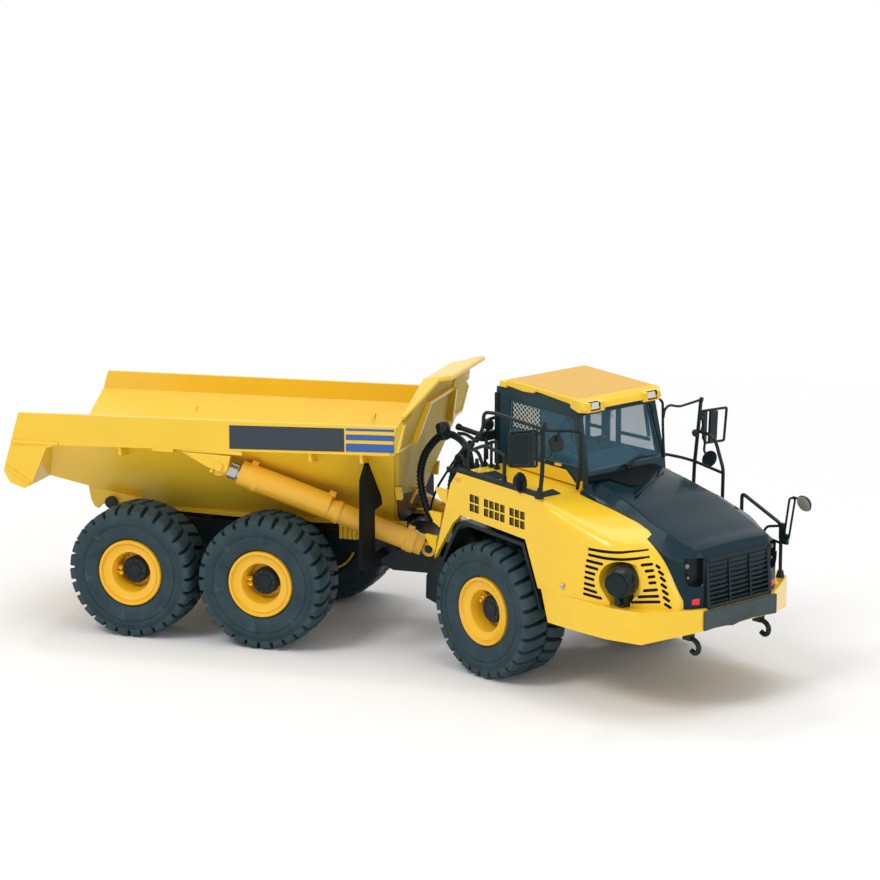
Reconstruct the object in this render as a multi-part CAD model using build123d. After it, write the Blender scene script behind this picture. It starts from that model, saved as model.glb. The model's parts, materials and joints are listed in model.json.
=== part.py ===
from build123d import *
import math
import os

# Scale model of a three-axle articulated dump truck, about 1:50, in millimetres.
# +X runs forward along the rear frame, +Y to the left, +Z up.  While the pieces are
# made, X = 0 is the middle axle, all axles are at AXLE_Z, and the front unit is drawn
# straight ahead with its axle at DRAWN_AXLE_X.  Then it is moved to the wheelbase and
# turned about the articulation pin, and main() sets the whole model on the ground.

# ------------------------------------------------------------------ driving sizes
TYRE_RADIUS = 18.7
TYRE_WIDTH = 15.2
TRACK = 53.8             # between the middles of the left and right tyres
WHEELBASE = 87.0         # middle axle to front axle
TANDEM = 39.4            # rear axle to middle axle
RIM_RADIUS = 9.28
RIM_WELL_RADIUS = 5.9
HUB_RADIUS = 3.75
RIM_INSET = 0.6          # rim's outer face inside the tyre's
RIM_BACK = 0.8           # rim's back edge inside the tyre's
RIM_POCKET = 4.4         # depth behind the rim in which the axle tube ends
HUB_DEPTH = 2.6          # hub cap below the rim's outer face
HUB_CAP = 1.6            # thickness of the hub cap
AXLE_Z = 18.7            # height at which the axles are drawn
AXLE_RADIUS = 2.6
STUB_RADIUS = 1.5        # steel stub that a wheel turns on
PIN_CLEARANCE = 0.15
RUN_CLEARANCE = 0.3      # between pieces of different bodies that pass each other
FIT = 0.1                # between pieces of one body

DRAWN_AXLE_X = 87.0      # front axle in the front unit's drawings
PIVOT_BACK = 22.8        # articulation pin behind the front axle
PIVOT_X = WHEELBASE - PIVOT_BACK
PIVOT_RADIUS = 2.0
STEER_ANGLE = -29.8      # the angle the model stands at, minus is to its right
STEER_LIMIT = 36.0       # stop, either way
HITCH_Z = 24.0           # axis on which the hitch rolls

FRAME_HALF = 9.5         # outer faces of the chassis beams
BEAM_WIDTH = 3.0
REAR_BEAM_Z = (23.6, 29.4)
FRONT_BEAM_Z = (21.5, 28.2)

HINGE_X = -52.8          # dump body hinge
HINGE_Z = 34.0
HINGE_PIN_RADIUS = 1.3
HINGE_LUG_Y = 12.6       # inner face of the dump body's hinge lugs
HINGE_LUG_WIDTH = 1.8

SHEET = 1.2              # thickness of the dump body's plates
RAIL_DEPTH = 5.3         # upright strip inside the top edge
RAIL_INSET = 3.4         # the wall starts this far inside the rail's outer face
FRONT_LEAN = 0.26        # forward lean of the front wall, mm for each mm up
TAIL_LEAN = 0.30

HOIST_TOP = (-13.5, 27.6, 50.0)     # rod eye, on the dump body
HOIST_FOOT = (43.5, 14.0, 28.0)     # barrel eye, on the rear frame
BARREL_RADIUS = 3.0
ROD_RADIUS = 1.5
HOIST_PIN_RADIUS = 1.0

FENDER_HALF = 31.0       # outer face of the side panels
PANEL = 1.0              # thickness of the fender panels
DECK_Z = 54.0
BASE_Z = 28.8            # seam between bumper and fenders
BONNET_HALF = 17.4
CAB_HALF = 14.2
CAB_WALL = 1.2
CAB_FLOOR_Z = 52.2       # underside of the cab
GLASS = 0.5
TUBE = 0.45              # radius of handrail tubes
BODY_FLOOR_Z = 31.2


# ------------------------------------------------------------------ small helpers
def block(x0, x1, y0, y1, z0, z1):
    """Box from its lowest to its highest corner."""
    centre = Pos((x0 + x1) / 2, (y0 + y1) / 2, (z0 + z1) / 2)
    return centre * Box(x1 - x0, y1 - y0, z1 - z0)


def prism_y(points, y0, y1):
    """Plate with its outline in X and Z, from y0 to y1."""
    face = make_face(Polyline(*[(x, y0, z) for x, z in points], close=True))
    return extrude(face, amount=y1 - y0, dir=(0, 1, 0))


def prism_z(points, z0, z1):
    """Plate with its outline in X and Y, from z0 to z1."""
    face = make_face(Polyline(*[(x, y, z0) for x, y in points], close=True))
    return extrude(face, amount=z1 - z0, dir=(0, 0, 1))


def prism_x(points, x0, x1, lean=0.0, z_ref=0.0):
    """Plate with its outline in Y and Z; its faces lean forward by lean for each mm up."""
    corners = [(x0 + lean * (z - z_ref), y, z) for y, z in points]
    face = make_face(Polyline(*corners, close=True))
    return extrude(face, amount=x1 - x0, dir=(1, 0, 0))


def rod(start, end, radius):
    """Round bar between two points."""
    axis = Vector(*end) - Vector(*start)
    plane = Plane(origin=start, z_dir=axis)
    return plane * Pos(0, 0, axis.length / 2) * Cylinder(radius, axis.length)


def rod_y(x, z, radius, y0, y1):
    return rod((x, y0, z), (x, y1, z), radius)


def tube(points, radius=TUBE):
    """Bent bar through points, with a ball at each bend."""
    result = rod(points[0], points[1], radius)
    for i in range(1, len(points) - 1):
        result = result + Pos(*points[i]) * Sphere(radius)
        result = result + rod(points[i], points[i + 1], radius)
    return result


def mirrored(shape):
    return mirror(shape, about=Plane.XZ)


def with_mirror(shape):
    """The shape and its copy on the other side."""
    return Compound([*shape.solids(), *mirrored(shape).solids()])


def section(points, x, lean=0.0, z_ref=0.0):
    """Face with its outline in Y and Z, at x where z is z_ref."""
    corners = [(x + lean * (z - z_ref), y, z) for y, z in points]
    return make_face(Polyline(*corners, close=True))


def steered(shape):
    """Puts a piece of the front unit in place and turns it about the articulation pin."""
    shape = Pos(WHEELBASE - DRAWN_AXLE_X, 0, 0) * shape
    return shape.rotate(Axis((PIVOT_X, 0, 0), (0, 0, 1)), STEER_ANGLE)


# ------------------------------------------------------------------ wheels
def tyre(x, side):
    """Tyre envelope over the lugs, a ring about the wheel's axis."""
    half = TYRE_WIDTH / 2
    bead = RIM_RADIUS + FIT
    outline = [
        (bead, -half + 0.9), (bead + 3.2, -half), (TYRE_RADIUS - 2.4, -half + 0.3),
        (TYRE_RADIUS, -half + 1.9), (TYRE_RADIUS, half - 1.9),
        (TYRE_RADIUS - 2.4, half - 0.3), (bead + 3.2, half), (bead, half - 0.9),
    ]
    return wheel_ring(outline, x, side)


def rim(x, side):
    """Dished rim with a hub boss outside and a socket for the stub inside."""
    half = TYRE_WIDTH / 2
    face = half - RIM_INSET
    web_in = -half + RIM_BACK + RIM_POCKET
    well = face - 5.4
    hub = face - HUB_DEPTH
    bore = STUB_RADIUS + PIN_CLEARANCE
    lip = RIM_RADIUS - 1.6
    outline = [
        (bore, web_in), (lip, web_in), (lip, -half + RIM_BACK), (RIM_RADIUS, -half + RIM_BACK),
        (RIM_RADIUS, face), (RIM_RADIUS - 1.7, face), (RIM_WELL_RADIUS + 0.6, face - 1.3),
        (RIM_WELL_RADIUS, well), (HUB_RADIUS, well), (HUB_RADIUS, hub), (0, hub),
        (0, hub - HUB_CAP), (bore, hub - HUB_CAP),
    ]
    return wheel_ring(outline, x, side)


def wheel_ring(outline, x, side):
    """Revolves (radius, offset) points about a wheel's axis; positive offsets face out."""
    y = side * TRACK / 2
    corners = [(x + r, y + side * out, AXLE_Z) for r, out in outline]
    face = make_face(Polyline(*corners, close=True))
    return revolve(face, Axis((x, 0, AXLE_Z), (0, 1, 0)), 360)


def axle(x, housing):
    """Axle tube with a final-drive housing and the stubs that carry the wheels."""
    end_gap = 2 * FIT
    inner = TRACK / 2 - TYRE_WIDTH / 2 + RIM_BACK + RIM_POCKET - end_gap
    reach = TRACK / 2 + TYRE_WIDTH / 2 - RIM_INSET - HUB_DEPTH - HUB_CAP - end_gap
    tube_part = rod_y(x, AXLE_Z, AXLE_RADIUS, -inner, inner)
    stub = rod_y(x, AXLE_Z, STUB_RADIUS, -reach, reach)
    ball = Pos(x, 0, AXLE_Z) * Sphere(housing)
    return tube_part + stub + ball


# ------------------------------------------------------------------ rear frame
REAR_AXLE_X = -TANDEM
BOGIE_X = -TANDEM / 2
BOGIE_Z = 19.6
BOGIE_SHAFT = 1.7
AXLE_BALL = 4.7


def rear_frame():
    """Ladder frame with its front box, hinge arms at the tail and the roll spindle."""
    outer, inner = FRAME_HALF, FRAME_HALF - BEAM_WIDTH
    low, high = REAR_BEAM_Z
    beam = prism_y([(-56.4, high), (-55.6, low + 2), (-47, low), (33, low), (33, high)],
                   inner, outer)
    pedestal = prism_y([(BOGIE_X - 6, low), (BOGIE_X - 3.2, BOGIE_Z - 2.8),
                        (BOGIE_X + 3.2, BOGIE_Z - 2.8), (BOGIE_X + 6, low)], inner, outer)
    arm = prism_y([(HINGE_X - 3.2, high - 0.5), (HINGE_X - 2.6, HINGE_Z - 1.0),
                   (HINGE_X - 1.6, HINGE_Z + 1.3), (HINGE_X - 0.6, HINGE_Z + 1.8),
                   (HINGE_X + 1.0, HINGE_Z + 1.8), (HINGE_X + 5.0, high - 0.5)],
                  inner + 0.6, outer)
    side = beam + pedestal + arm
    frame = side + mirrored(side)
    for x in (-53.0, -46.5, -28.5, -11.0, 8.0, 20.0):
        frame = frame + block(x - 1.4, x + 1.4, -inner, inner, low + 0.8, high - 0.8)
    box_side = [(27.2, high), (28.2, 20.6), (31.0, 19.4), (47.2, 19.4), (48.2, 20.6),
                (48.2, 28.6), (44.0, high)]
    frame = frame + prism_y(box_side, -FRAME_HALF, FRAME_HALF)
    frame = frame + rod((47.0, 0, HITCH_Z), (HITCH_END_X, 0, HITCH_Z), SPINDLE_RADIUS)
    frame = frame - rod_y(BOGIE_X, BOGIE_Z, BOGIE_SHAFT + FIT, -20, 20)
    pin_room = HINGE_LUG_Y + HINGE_LUG_WIDTH + 1.2
    frame = frame - rod_y(HINGE_X, HINGE_Z, HINGE_PIN_RADIUS + FIT, -pin_room, pin_room)
    return frame


def hinge_pin():
    """Dump hinge pin with a round head outside each lug."""
    head = HINGE_LUG_Y + HINGE_LUG_WIDTH + RUN_CLEARANCE
    pin = rod_y(HINGE_X, HINGE_Z, HINGE_PIN_RADIUS, -head, head)
    for side in (1, -1):
        pin = pin + rod((HINGE_X, side * head, HINGE_Z),
                        (HINGE_X, side * (head + 1.3), HINGE_Z), 1.75)
    return pin


def hoist_crossbar():
    """Bar through the frame that carries the feet of both hoist cylinders."""
    x, y, z = HOIST_FOOT
    lug = prism_y([(x - 2.0, z - 4.6), (x - 2.0, z + 1.2), (x - 0.6, z + 2.0),
                   (x + 1.4, z + 2.0), (x + 2.6, z + 0.6), (x + 2.6, z - 4.6)],
                  FRAME_HALF + FIT, y - 2.0)
    pin = rod_y(x, z, HOIST_PIN_RADIUS, FRAME_HALF + FIT, y + 2.0)
    return with_mirror(lug + pin)


def bogie_beams():
    """Walking beams that join the two rear axles, on one cross shaft."""
    y0 = FRAME_HALF + 2.0
    y1 = y0 + 3.4
    outline = [(REAR_AXLE_X - 4.2, 16.4), (REAR_AXLE_X - 4.2, 21.4), (BOGIE_X - 4, 22.6),
               (BOGIE_X + 4, 22.6), (4.2, 21.4), (4.2, 16.4), (BOGIE_X, 15.6)]
    beam = prism_y(outline, y0, y1)
    for x in (REAR_AXLE_X, 0.0):
        beam = beam - rod_y(x, AXLE_Z, AXLE_RADIUS + FIT, 0, 30)
    beams = beam + mirrored(beam)
    return beams + rod_y(BOGIE_X, BOGIE_Z, BOGIE_SHAFT, -y1 - 0.6, y1 + 0.6)


PLATE_X = (28.3, 29.7)
HOIST_ROOM = 0.45        # between hoist barrel and mudguard plate


def mudguard_plates():
    """Upright plates ahead of the middle wheels, cut clear of the hoist cylinders."""
    x0, x1 = PLATE_X
    along = (HOIST_FOOT[0] - x0) / (HOIST_FOOT[0] - HOIST_TOP[0])
    room = BARREL_RADIUS + HOIST_ROOM
    inner = HOIST_FOOT[1] + along * (HOIST_TOP[1] - HOIST_FOOT[1]) + room
    under = HOIST_FOOT[2] + along * (HOIST_TOP[2] - HOIST_FOOT[2]) + room + 2.0
    outline = [(31.0, 24.3), (inner, 23.8), (inner, under), (14.8, under + 0.4), (15.6, under + 2.8),
               (25.9, 54.0), (30.2, 50.0)]
    plate = prism_x(outline, x0, x1)
    stay = block(x0, x1, FRAME_HALF + FIT, inner, 24.0, 26.2)
    return with_mirror(plate + stay)


# ------------------------------------------------------------------ hitch
SPINDLE_RADIUS = 3.4
HITCH_END_X = PIVOT_X - 9.6
FORK_Z = ((17.4, 20.2), (27.8, 30.2))     # lower and upper fork plates
FORK_ROUND = 4.6


def hitch_yoke():
    """Sleeve that rolls on the frame's spindle, with a fork for the articulation pin."""
    back = 48.2 + RUN_CLEARANCE
    face = HITCH_END_X + RUN_CLEARANCE
    sleeve = rod((back, 0, HITCH_Z), (face + 2.2, 0, HITCH_Z), 6.2)
    sleeve = sleeve - rod((back - 1, 0, HITCH_Z), (face, 0, HITCH_Z),
                          SPINDLE_RADIUS + PIN_CLEARANCE)
    yoke = sleeve
    for z0, z1 in FORK_Z:
        arm = block(face - 3.0, PIVOT_X, -FORK_ROUND, FORK_ROUND, z0, z1)
        arm = arm + rod((PIVOT_X, 0, z0), (PIVOT_X, 0, z1), FORK_ROUND)
        arm = arm - rod((PIVOT_X, 0, z0 - 1), (PIVOT_X, 0, z1 + 1),
                        PIVOT_RADIUS + PIN_CLEARANCE)
        yoke = yoke + arm
    return yoke


# ------------------------------------------------------------------ dump body
# Cross sections of the dump body.  Columns: place along X where z is the rail's top,
# lean, rail half width, rail top, rail bottom, floor half width, floor underside.
BODY_SECTIONS = [
    (38.9, FRONT_LEAN, 28.6, 65.3, 57.0, 6.8, 32.8),
    (-34.0, 0.0, 30.7, 63.4, 54.6, 7.6, BODY_FLOOR_Z),
    (-73.6, TAIL_LEAN, 31.8, 62.3, 53.1, 21.3, 43.9),
]


def side_outline(half, top, bottom, floor_half, floor_z):
    """Wall section: outer rail, sloping wall down to the floor, and back up inside."""
    return [
        (half, top), (half, bottom), (half - RAIL_INSET, bottom), (floor_half, floor_z),
        (floor_half - SHEET, floor_z + SHEET), (half - SHEET, top - RAIL_DEPTH),
        (half - SHEET, top),
    ]


def body_side():
    """Left wall of the load space, with its rail and the closed wing at the tail."""
    faces = []
    cavity = []
    for x, lean, half, top, bottom, floor_half, floor_z in BODY_SECTIONS:
        outline = side_outline(half, top, bottom, floor_half, floor_z)
        faces.append(section(outline, x, lean, top))
        inner = [(floor_half - SHEET - 0.02, floor_z - 6), (floor_half - SHEET, floor_z + SHEET),
                 (half - SHEET, top - RAIL_DEPTH), (half - SHEET, top + 2), (-1, top + 2),
                 (-1, floor_z - 6)]
        cavity.append(section(inner, x, lean, top))
    wall = loft(faces, ruled=True)
    wing_outline = [(-74.4, 59.6), (-78.7, 45.2), (-76.8, 41.8), (-72.3, 40.3), (-70.1, 41.6),
                    (-65.3, 52.6), (-62.0, 53.6)]
    wing = prism_y(wing_outline, 19.0, 31.7)
    room = loft(cavity, ruled=True)
    return wall + (wing - room - body_floor())


def body_floor():
    """Floor plate that kicks up to the tail, between the feet of the two walls."""
    upper, lower, plan = [], [], []
    for x, lean, half, top, bottom, floor_half, floor_z in BODY_SECTIONS:
        upper.append((x + lean * (floor_z + SHEET - top), floor_z + SHEET))
        lower.append((x + lean * (floor_z - top), floor_z))
        plan.append((upper[-1][0], floor_half - SHEET))
    tail_x, tail_half = plan[-1]
    plan.append((tail_x - 2, tail_half))
    plate = prism_y(upper + lower[::-1], -40, 40)
    return plate & prism_z(plan + [(x, -y) for x, y in plan[::-1]], 20, 60)


def body_front_wall():
    """Front wall: an upright plate that leans forward, up to the hood."""
    x, lean, half, top, bottom, floor_half, floor_z = BODY_SECTIONS[0]
    outline = [(-floor_half, floor_z), (floor_half, floor_z), (half - RAIL_INSET, bottom),
               (half, bottom), (half, 66.5), (12.8, 75.7), (-12.8, 75.7), (-half, 66.5),
               (-half, bottom), (-half + RAIL_INSET, bottom)]
    return prism_x(outline, x, x + 1.5, lean, top)


# Corner points of the hood over the front wall, on the left side.
HOOD_POINTS = {
    "corner": (39.2, 28.6, 66.5),
    "side": (42.4, 28.6, 68.8),
    "crown": (41.6, 12.8, 75.7),
    "lip": (49.5, 15.6, 77.9),
}


def body_hood():
    """Spill guard that runs forward from the top of the front wall."""
    drop = Vector(0, 0, -1.2)
    p = HOOD_POINTS
    flip = {name: (x, -y, z) for name, (x, y, z) in p.items()}
    panels = [
        [p["corner"], p["side"], p["lip"], p["crown"]],
        [p["crown"], p["lip"], flip["lip"], flip["crown"]],
        [flip["corner"], flip["side"], flip["lip"], flip["crown"]],
    ]
    hood = None
    for corners in panels:
        for i in (1, 2):
            triangle = make_face(Polyline(corners[0], corners[i], corners[i + 1], close=True))
            piece = extrude(triangle, amount=1.2, dir=(0, 0, -1))
            hood = piece if hood is None else hood + piece
    return hood - body_front_wall()


BRACKET_GAP = 2.1        # hoist bracket outside the middle of the rod's eye


def body_brackets():
    """Hinge lugs, guide bars and hoist brackets under the dump body, left side."""
    lug_outline = [(HINGE_X - 5.8, 38.2), (HINGE_X - 5.0, HINGE_Z - 0.8),
                   (HINGE_X - 3.2, HINGE_Z - 1.8), (HINGE_X + 1.6, HINGE_Z - 2.0),
                   (HINGE_X + 3.0, HINGE_Z), (HINGE_X + 8.6, 35.6)]
    y0 = HINGE_LUG_Y
    lug = prism_y(lug_outline, y0, y0 + HINGE_LUG_WIDTH)
    lug = lug - rod_y(HINGE_X, HINGE_Z, HINGE_PIN_RADIUS + PIN_CLEARANCE, 0, 40)
    x, y, z = HOIST_TOP
    plate = prism_y([(x - 11, 54.2), (x - 2.4, z - 1.6), (x + 1.4, z - 2.0),
                     (x + 3.4, 54.0)], y + BRACKET_GAP, y + BRACKET_GAP + 0.8)
    boss = rod_y(x, z, 1.7, y + BRACKET_GAP + 0.8, y + BRACKET_GAP + 1.4)
    return lug, plate + boss


def dump_body_pieces():
    side = body_side()
    lug, hoist_bracket = (shape - body_floor() - side for shape in body_brackets())
    brackets = Compound(children=[*with_mirror(lug).solids(), *with_mirror(hoist_bracket).solids()])
    return {
        "body_side_left": side,
        "body_side_right": mirrored(side),
        "body_floor": body_floor(),
        "body_front_wall": body_front_wall(),
        "body_hood": body_hood(),
        "body_brackets": brackets,
    }


# ------------------------------------------------------------------ hoist cylinders
ROD_STICK = 7.0          # rod showing between barrel and eye when the body is down
BARREL_START = 2.2       # barrel's foot end, from the foot pin


def hoist_length():
    return (Vector(*HOIST_TOP) - Vector(*HOIST_FOOT)).length


def along_hoist(distance):
    """Point on the left hoist's axis at this distance from its foot pin."""
    foot, top = Vector(*HOIST_FOOT), Vector(*HOIST_TOP)
    return tuple(foot + (top - foot).normalized() * distance)


def hoist_barrel():
    """Barrel of the left hoist with its foot eye and two clamp collars."""
    end = hoist_length() - ROD_STICK
    barrel = rod(along_hoist(BARREL_START), along_hoist(end), BARREL_RADIUS)
    for place in (BARREL_START + 3.2, end * 0.50, end - 3.4):
        barrel = barrel + rod(along_hoist(place - 0.8), along_hoist(place + 0.8),
                              BARREL_RADIUS + 0.35)
    bore = ROD_RADIUS + PIN_CLEARANCE
    barrel = barrel - rod(along_hoist(BARREL_START + 2.0), along_hoist(end + 1), bore)
    x, y, z = HOIST_FOOT
    eye = rod_y(x, z, 2.1, y - 1.6, y + 1.6)
    eye = eye + rod(along_hoist(0), along_hoist(BARREL_START + 0.5), 1.3)
    return eye - rod_y(x, z, HOIST_PIN_RADIUS + PIN_CLEARANCE, y - 3, y + 3) + barrel


def hoist_rod():
    """Rod of the left hoist, with the eye that meets the dump body's bracket."""
    end = hoist_length()
    bar = rod(along_hoist(BARREL_START + 2.5), along_hoist(end - 1.2), ROD_RADIUS)
    nut = rod(along_hoist(end - 4.6), along_hoist(end - 2.2), 2.1)
    x, y, z = HOIST_TOP
    eye = rod_y(x, z, 1.9, y - 1.2, y + 0.7)
    return bar + nut + eye


# ------------------------------------------------------------------ front unit, below
TONGUE_HALF = 4.0


def front_frame():
    """Two beams and the tongue that turns in the hitch fork, with its upright pin."""
    low, high = FRONT_BEAM_Z
    inner = FRAME_HALF - BEAM_WIDTH
    pin_x = DRAWN_AXLE_X - PIVOT_BACK
    side = block(pin_x + 6.4, 144.0, inner, FRAME_HALF, low, high)
    frame = side + mirrored(side)
    for x in (pin_x + 7.9, 100.0, 118.0, 142.5):
        frame = frame + block(x - 1.5, x + 1.5, -inner, inner, low, high)
    z0, z1 = FORK_Z[0][1] + RUN_CLEARANCE, FORK_Z[1][0] - RUN_CLEARANCE
    frame = frame + block(pin_x, pin_x + 7.0, -TONGUE_HALF, TONGUE_HALF, z0, z1)
    frame = frame + rod((pin_x, 0, z0), (pin_x, 0, z1), TONGUE_HALF)
    return frame + rod((pin_x, 0, FORK_Z[0][0] - 0.6), (pin_x, 0, FORK_Z[1][1] + 0.6),
                       PIVOT_RADIUS)


def engine_bay():
    """Closed black block between the wheels that carries cab, decks and bonnet."""
    top, low = CAB_FLOOR_Z - FIT, FRONT_BEAM_Z[1] + FIT
    outline = [(70.4, 30.0), (72.6, top), (105.8, top), (105.8, low), (72.0, low)]
    return prism_y(outline, -ARCH_INNER + FIT, ARCH_INNER - FIT)


# ------------------------------------------------------------------ front unit, fenders
ARCH_INNER = TRACK / 2 - TYRE_WIDTH / 2 - 1.1     # inner end of the wheel arch linings
LINER = 1.1
ARCH = [(64.5, 28.7), (71.9, 40.0), (75.3, 43.0), (100.9, 41.1), (105.9, BASE_Z)]
# Top surface of the front fender.  Columns: x, half width and height of its inner edge,
# half width and height of its shoulder, half width at the base.
FENDER_SECTIONS = [
    (106.0, 17.6, 52.8, 29.6, 52.4, 29.8),
    (111.5, 17.6, 51.9, 29.3, 49.8, 28.9),
    (120.0, 17.6, 50.7, 29.3, 47.9, 29.8),
    (129.0, 17.8, 49.0, 28.0, 45.6, 29.2),
    (131.4, 18.0, 48.3, 26.7, 44.5, 28.0),
    (132.4, 18.0, 45.7, 26.1, 44.0, 27.4),
    (134.5, 18.2, 44.8, 24.9, 43.0, 26.2),
    (139.9, 18.3, 42.2, 21.6, 39.4, 22.8),
    (142.4, 18.2, 37.8, 20.3, 36.9, 21.2),
    (146.6, 17.6, 30.8, 18.4, 30.2, 18.8),
]


# The left side is a stairway: outline along the truck of what is taken away above its treads.
LANDING_Z = 45.8
RISER = 0.8              # thickness of the wall between landing and deck
STAIR = [(60.0, LANDING_Z), (108.4, LANDING_Z), (108.4, 41.6), (116.0, 41.6), (116.0, 37.6), (124.6, 37.6),
         (124.6, 33.6), (133.4, 33.6), (133.4, 29.9), (150.0, 29.9), (150.0, 60.0), (60.0, 60.0)]


def fender():
    """Closed fender, drawn on the left: side panel over the wheel, deck, and the front part."""
    outline = [ARCH[0], (71.1, 51.0), (73.9, DECK_Z + 0.8), (105.9, 53.4), (106.0, BASE_Z),
               ARCH[4], ARCH[3], ARCH[2], ARCH[1]]
    panel = prism_y(outline, FENDER_HALF - PANEL, FENDER_HALF)
    deck = prism_y([(73.9, DECK_Z + 0.8), (105.9, 53.4), (105.9, 52.2), (73.0, DECK_Z - 0.4)],
                   CAB_HALF + 0.2, FENDER_HALF - PANEL)
    faces = []
    for x, y_in, z_in, y_out, z_out, y_base in FENDER_SECTIONS:
        soft = min(2.2, (y_out - y_in) * 0.6)
        faces.append(section([(y_in, BASE_Z), (y_in, z_in), (y_out - soft, z_out + 0.3 * soft),
                              (y_out, z_out - 0.6 * soft), (y_base, BASE_Z)], x))
    pod = loft(faces, ruled=True)
    flange = prism_y([(100.9, 41.1), (101.4, 53.3), (106.1, 53.3), (106.1, BASE_Z),
                      (105.8, BASE_Z)], ARCH_INNER + LINER, FENDER_HALF - PANEL)
    return panel + deck + pod + flange


def stair_fender():
    """Left fender: the closed fender cut down to a landing beside the cab and treads that lead to it."""
    riser_y = ARCH_INNER + RISER
    room = prism_y(STAIR, riser_y, 40.0)
    front = prism_y([p for p in STAIR if p[0] > 107.0] + [(108.4, 60.0)], CAB_HALF, riser_y)
    low = LANDING_Z - 1.4
    landing = prism_y([(70.2, LANDING_Z), (70.6, low), (105.0, low), (105.0, LANDING_Z)], ARCH_INNER, FENDER_HALF - PANEL)
    riser = prism_y([(70.6, low), (73.4, 53.2), (105.0, 52.8), (105.0, low)], ARCH_INNER, riser_y)
    return fender() - room - front + landing + riser


def arch_lining():
    """Black lining inside the left wheel arch, with the flap behind the tyre."""
    d = LINER + 0.1
    path = [(66.8, 18.9), (66.9, 28.7), (73.1, 39.4), (75.8, 41.6), (100.1, 39.9),
            (104.9, 28.0), (107.0, 22.6)]
    back = [(105.9, 22.4), (103.8, 27.6), (99.3, 38.7), (76.2, 40.4), (74.0, 38.7),
            (68.2, 28.7), (67.6, 19.0)]
    lining = prism_y(path + back, ARCH_INNER, FENDER_HALF - 0.2)
    flap = prism_y([(66.8, 18.9), (66.0, 15.6), (60.6, 16.6), (60.8, 23.0), (63.8, 28.2),
                    (66.9, 28.7)], ARCH_INNER + 1.2, FENDER_HALF - 0.2)
    return lining + flap


BUMPER_LOW = 20.0
BUMPER_POINTS = [(106.9, 30.8), (120.0, 31.2), (131.5, 30.8), (141.6, 27.9), (150.2, 13.9)]
BUMPER_RISE = [(141.6, BUMPER_LOW), (152.0, 23.4)]     # lower edge, rising to the front


def bumper():
    """Bumper that wraps from arch to arch, with a step on top at each side."""
    right = [(x, -y) for x, y in BUMPER_POINTS]
    ring = prism_z(BUMPER_POINTS + right[::-1], BUMPER_LOW, BASE_Z - FIT)
    half = [(100.0, ARCH_INNER - 0.3), (141.5, ARCH_INNER - 0.3), (144.4, 12.0)]
    hollow = prism_z(half + [(x, -y) for x, y in half[::-1]], 10.0, 40.0)
    arch_end = prism_y([(100.0, 30.0), (106.5, 29.9), (110.2, 18.6), (100.0, 18.0)], -40, 40)
    below = prism_y(BUMPER_RISE + [(152.0, 18.0), (141.6, 18.0)], -40, 40)
    return ring - hollow - arch_end - below


def bumper_plate():
    """Dark centre plate of the bumper."""
    return block(150.2 + FIT, 151.1, -13.6, 13.6, 23.0, 28.2)


def tow_hooks():
    hook = tube([(144.0, 13.4, 19.2), (146.4, 13.4, 18.8), (148.6, 13.4, 17.6),
                 (148.8, 13.4, 15.8), (146.8, 13.4, 15.4)], 0.8)
    (x0, z0), (x1, z1) = BUMPER_RISE
    ends = [(x, z0 + (x - x0) * (z1 - z0) / (x1 - x0) - FIT) for x in (142.6, 147.6)]
    base = prism_y(ends + [(147.6, 18.6), (142.6, 18.6)], 12.2, 14.6)
    return with_mirror(hook + base)


# ------------------------------------------------------------------ front unit, bonnet
# Columns: x, half width and height of the upper crease, half width and height of the edge.
BONNET_SECTIONS = [
    (107.8, 12.6, 55.9, 17.3, 52.7),
    (117.0, 13.2, 54.0, 17.4, 51.3),
    (126.0, 14.0, 51.5, 17.4, 49.6),
    (131.4, 14.8, 49.6, 17.5, 48.2),
    (133.0, 14.8, 48.9, 17.6, 46.6),
    (139.0, 14.4, 47.0, 18.0, 43.5),
    (145.5, 13.4, 44.6, 17.4, 41.0),
    (148.6, 12.6, 43.0, 15.6, 40.0),
]


def bonnet():
    faces = []
    for x, y_top, z_top, y_edge, z_edge in BONNET_SECTIONS:
        faces.append(section([(-y_edge, BASE_Z + FIT), (-y_edge, z_edge), (-y_top, z_top),
                              (0, z_top + 0.5), (y_top, z_top), (y_edge, z_edge),
                              (y_edge, BASE_Z + FIT)], x))
    return loft(faces, ruled=True)


def grille():
    """Plate that carries the grille."""
    return prism_y([(148.7, 29.2), (150.4, 29.4), (149.4, 42.6), (148.7, 42.6)], -11.9, 11.9)


def headlamps():
    return with_mirror(block(148.7, 149.4, 12.4, 14.8, 34.5, 39.0))


# ------------------------------------------------------------------ cab
CAB_SIDE = [(71.4, CAB_FLOOR_Z), (71.4, 74.6), (102.4, 73.4), (107.2, 57.2), (107.6, 54.0),
            (107.6, CAB_FLOOR_Z)]


def cab_shell():
    """Cab walls in one shell with its windows cut, open at the top under the roof."""
    shell = prism_y(CAB_SIDE, -CAB_HALF, CAB_HALF)
    w = CAB_WALL
    room = prism_y([(71.4 + w, CAB_FLOOR_Z + w), (71.4 + w, 73.4), (101.4, 72.2),
                    (106.0, 56.8), (106.2, CAB_FLOOR_Z + w)], -CAB_HALF + w, CAB_HALF - w)
    shell = shell - room
    for outline in SIDE_WINDOWS:
        shell = shell - prism_y(outline, -CAB_HALF - 1, CAB_HALF + 1)
    shell = shell - prism_x(WINDSCREEN, 98.0, 110.0)
    shell = shell - prism_x(REAR_WINDOW, 69.0, 74.0)
    return shell


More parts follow.
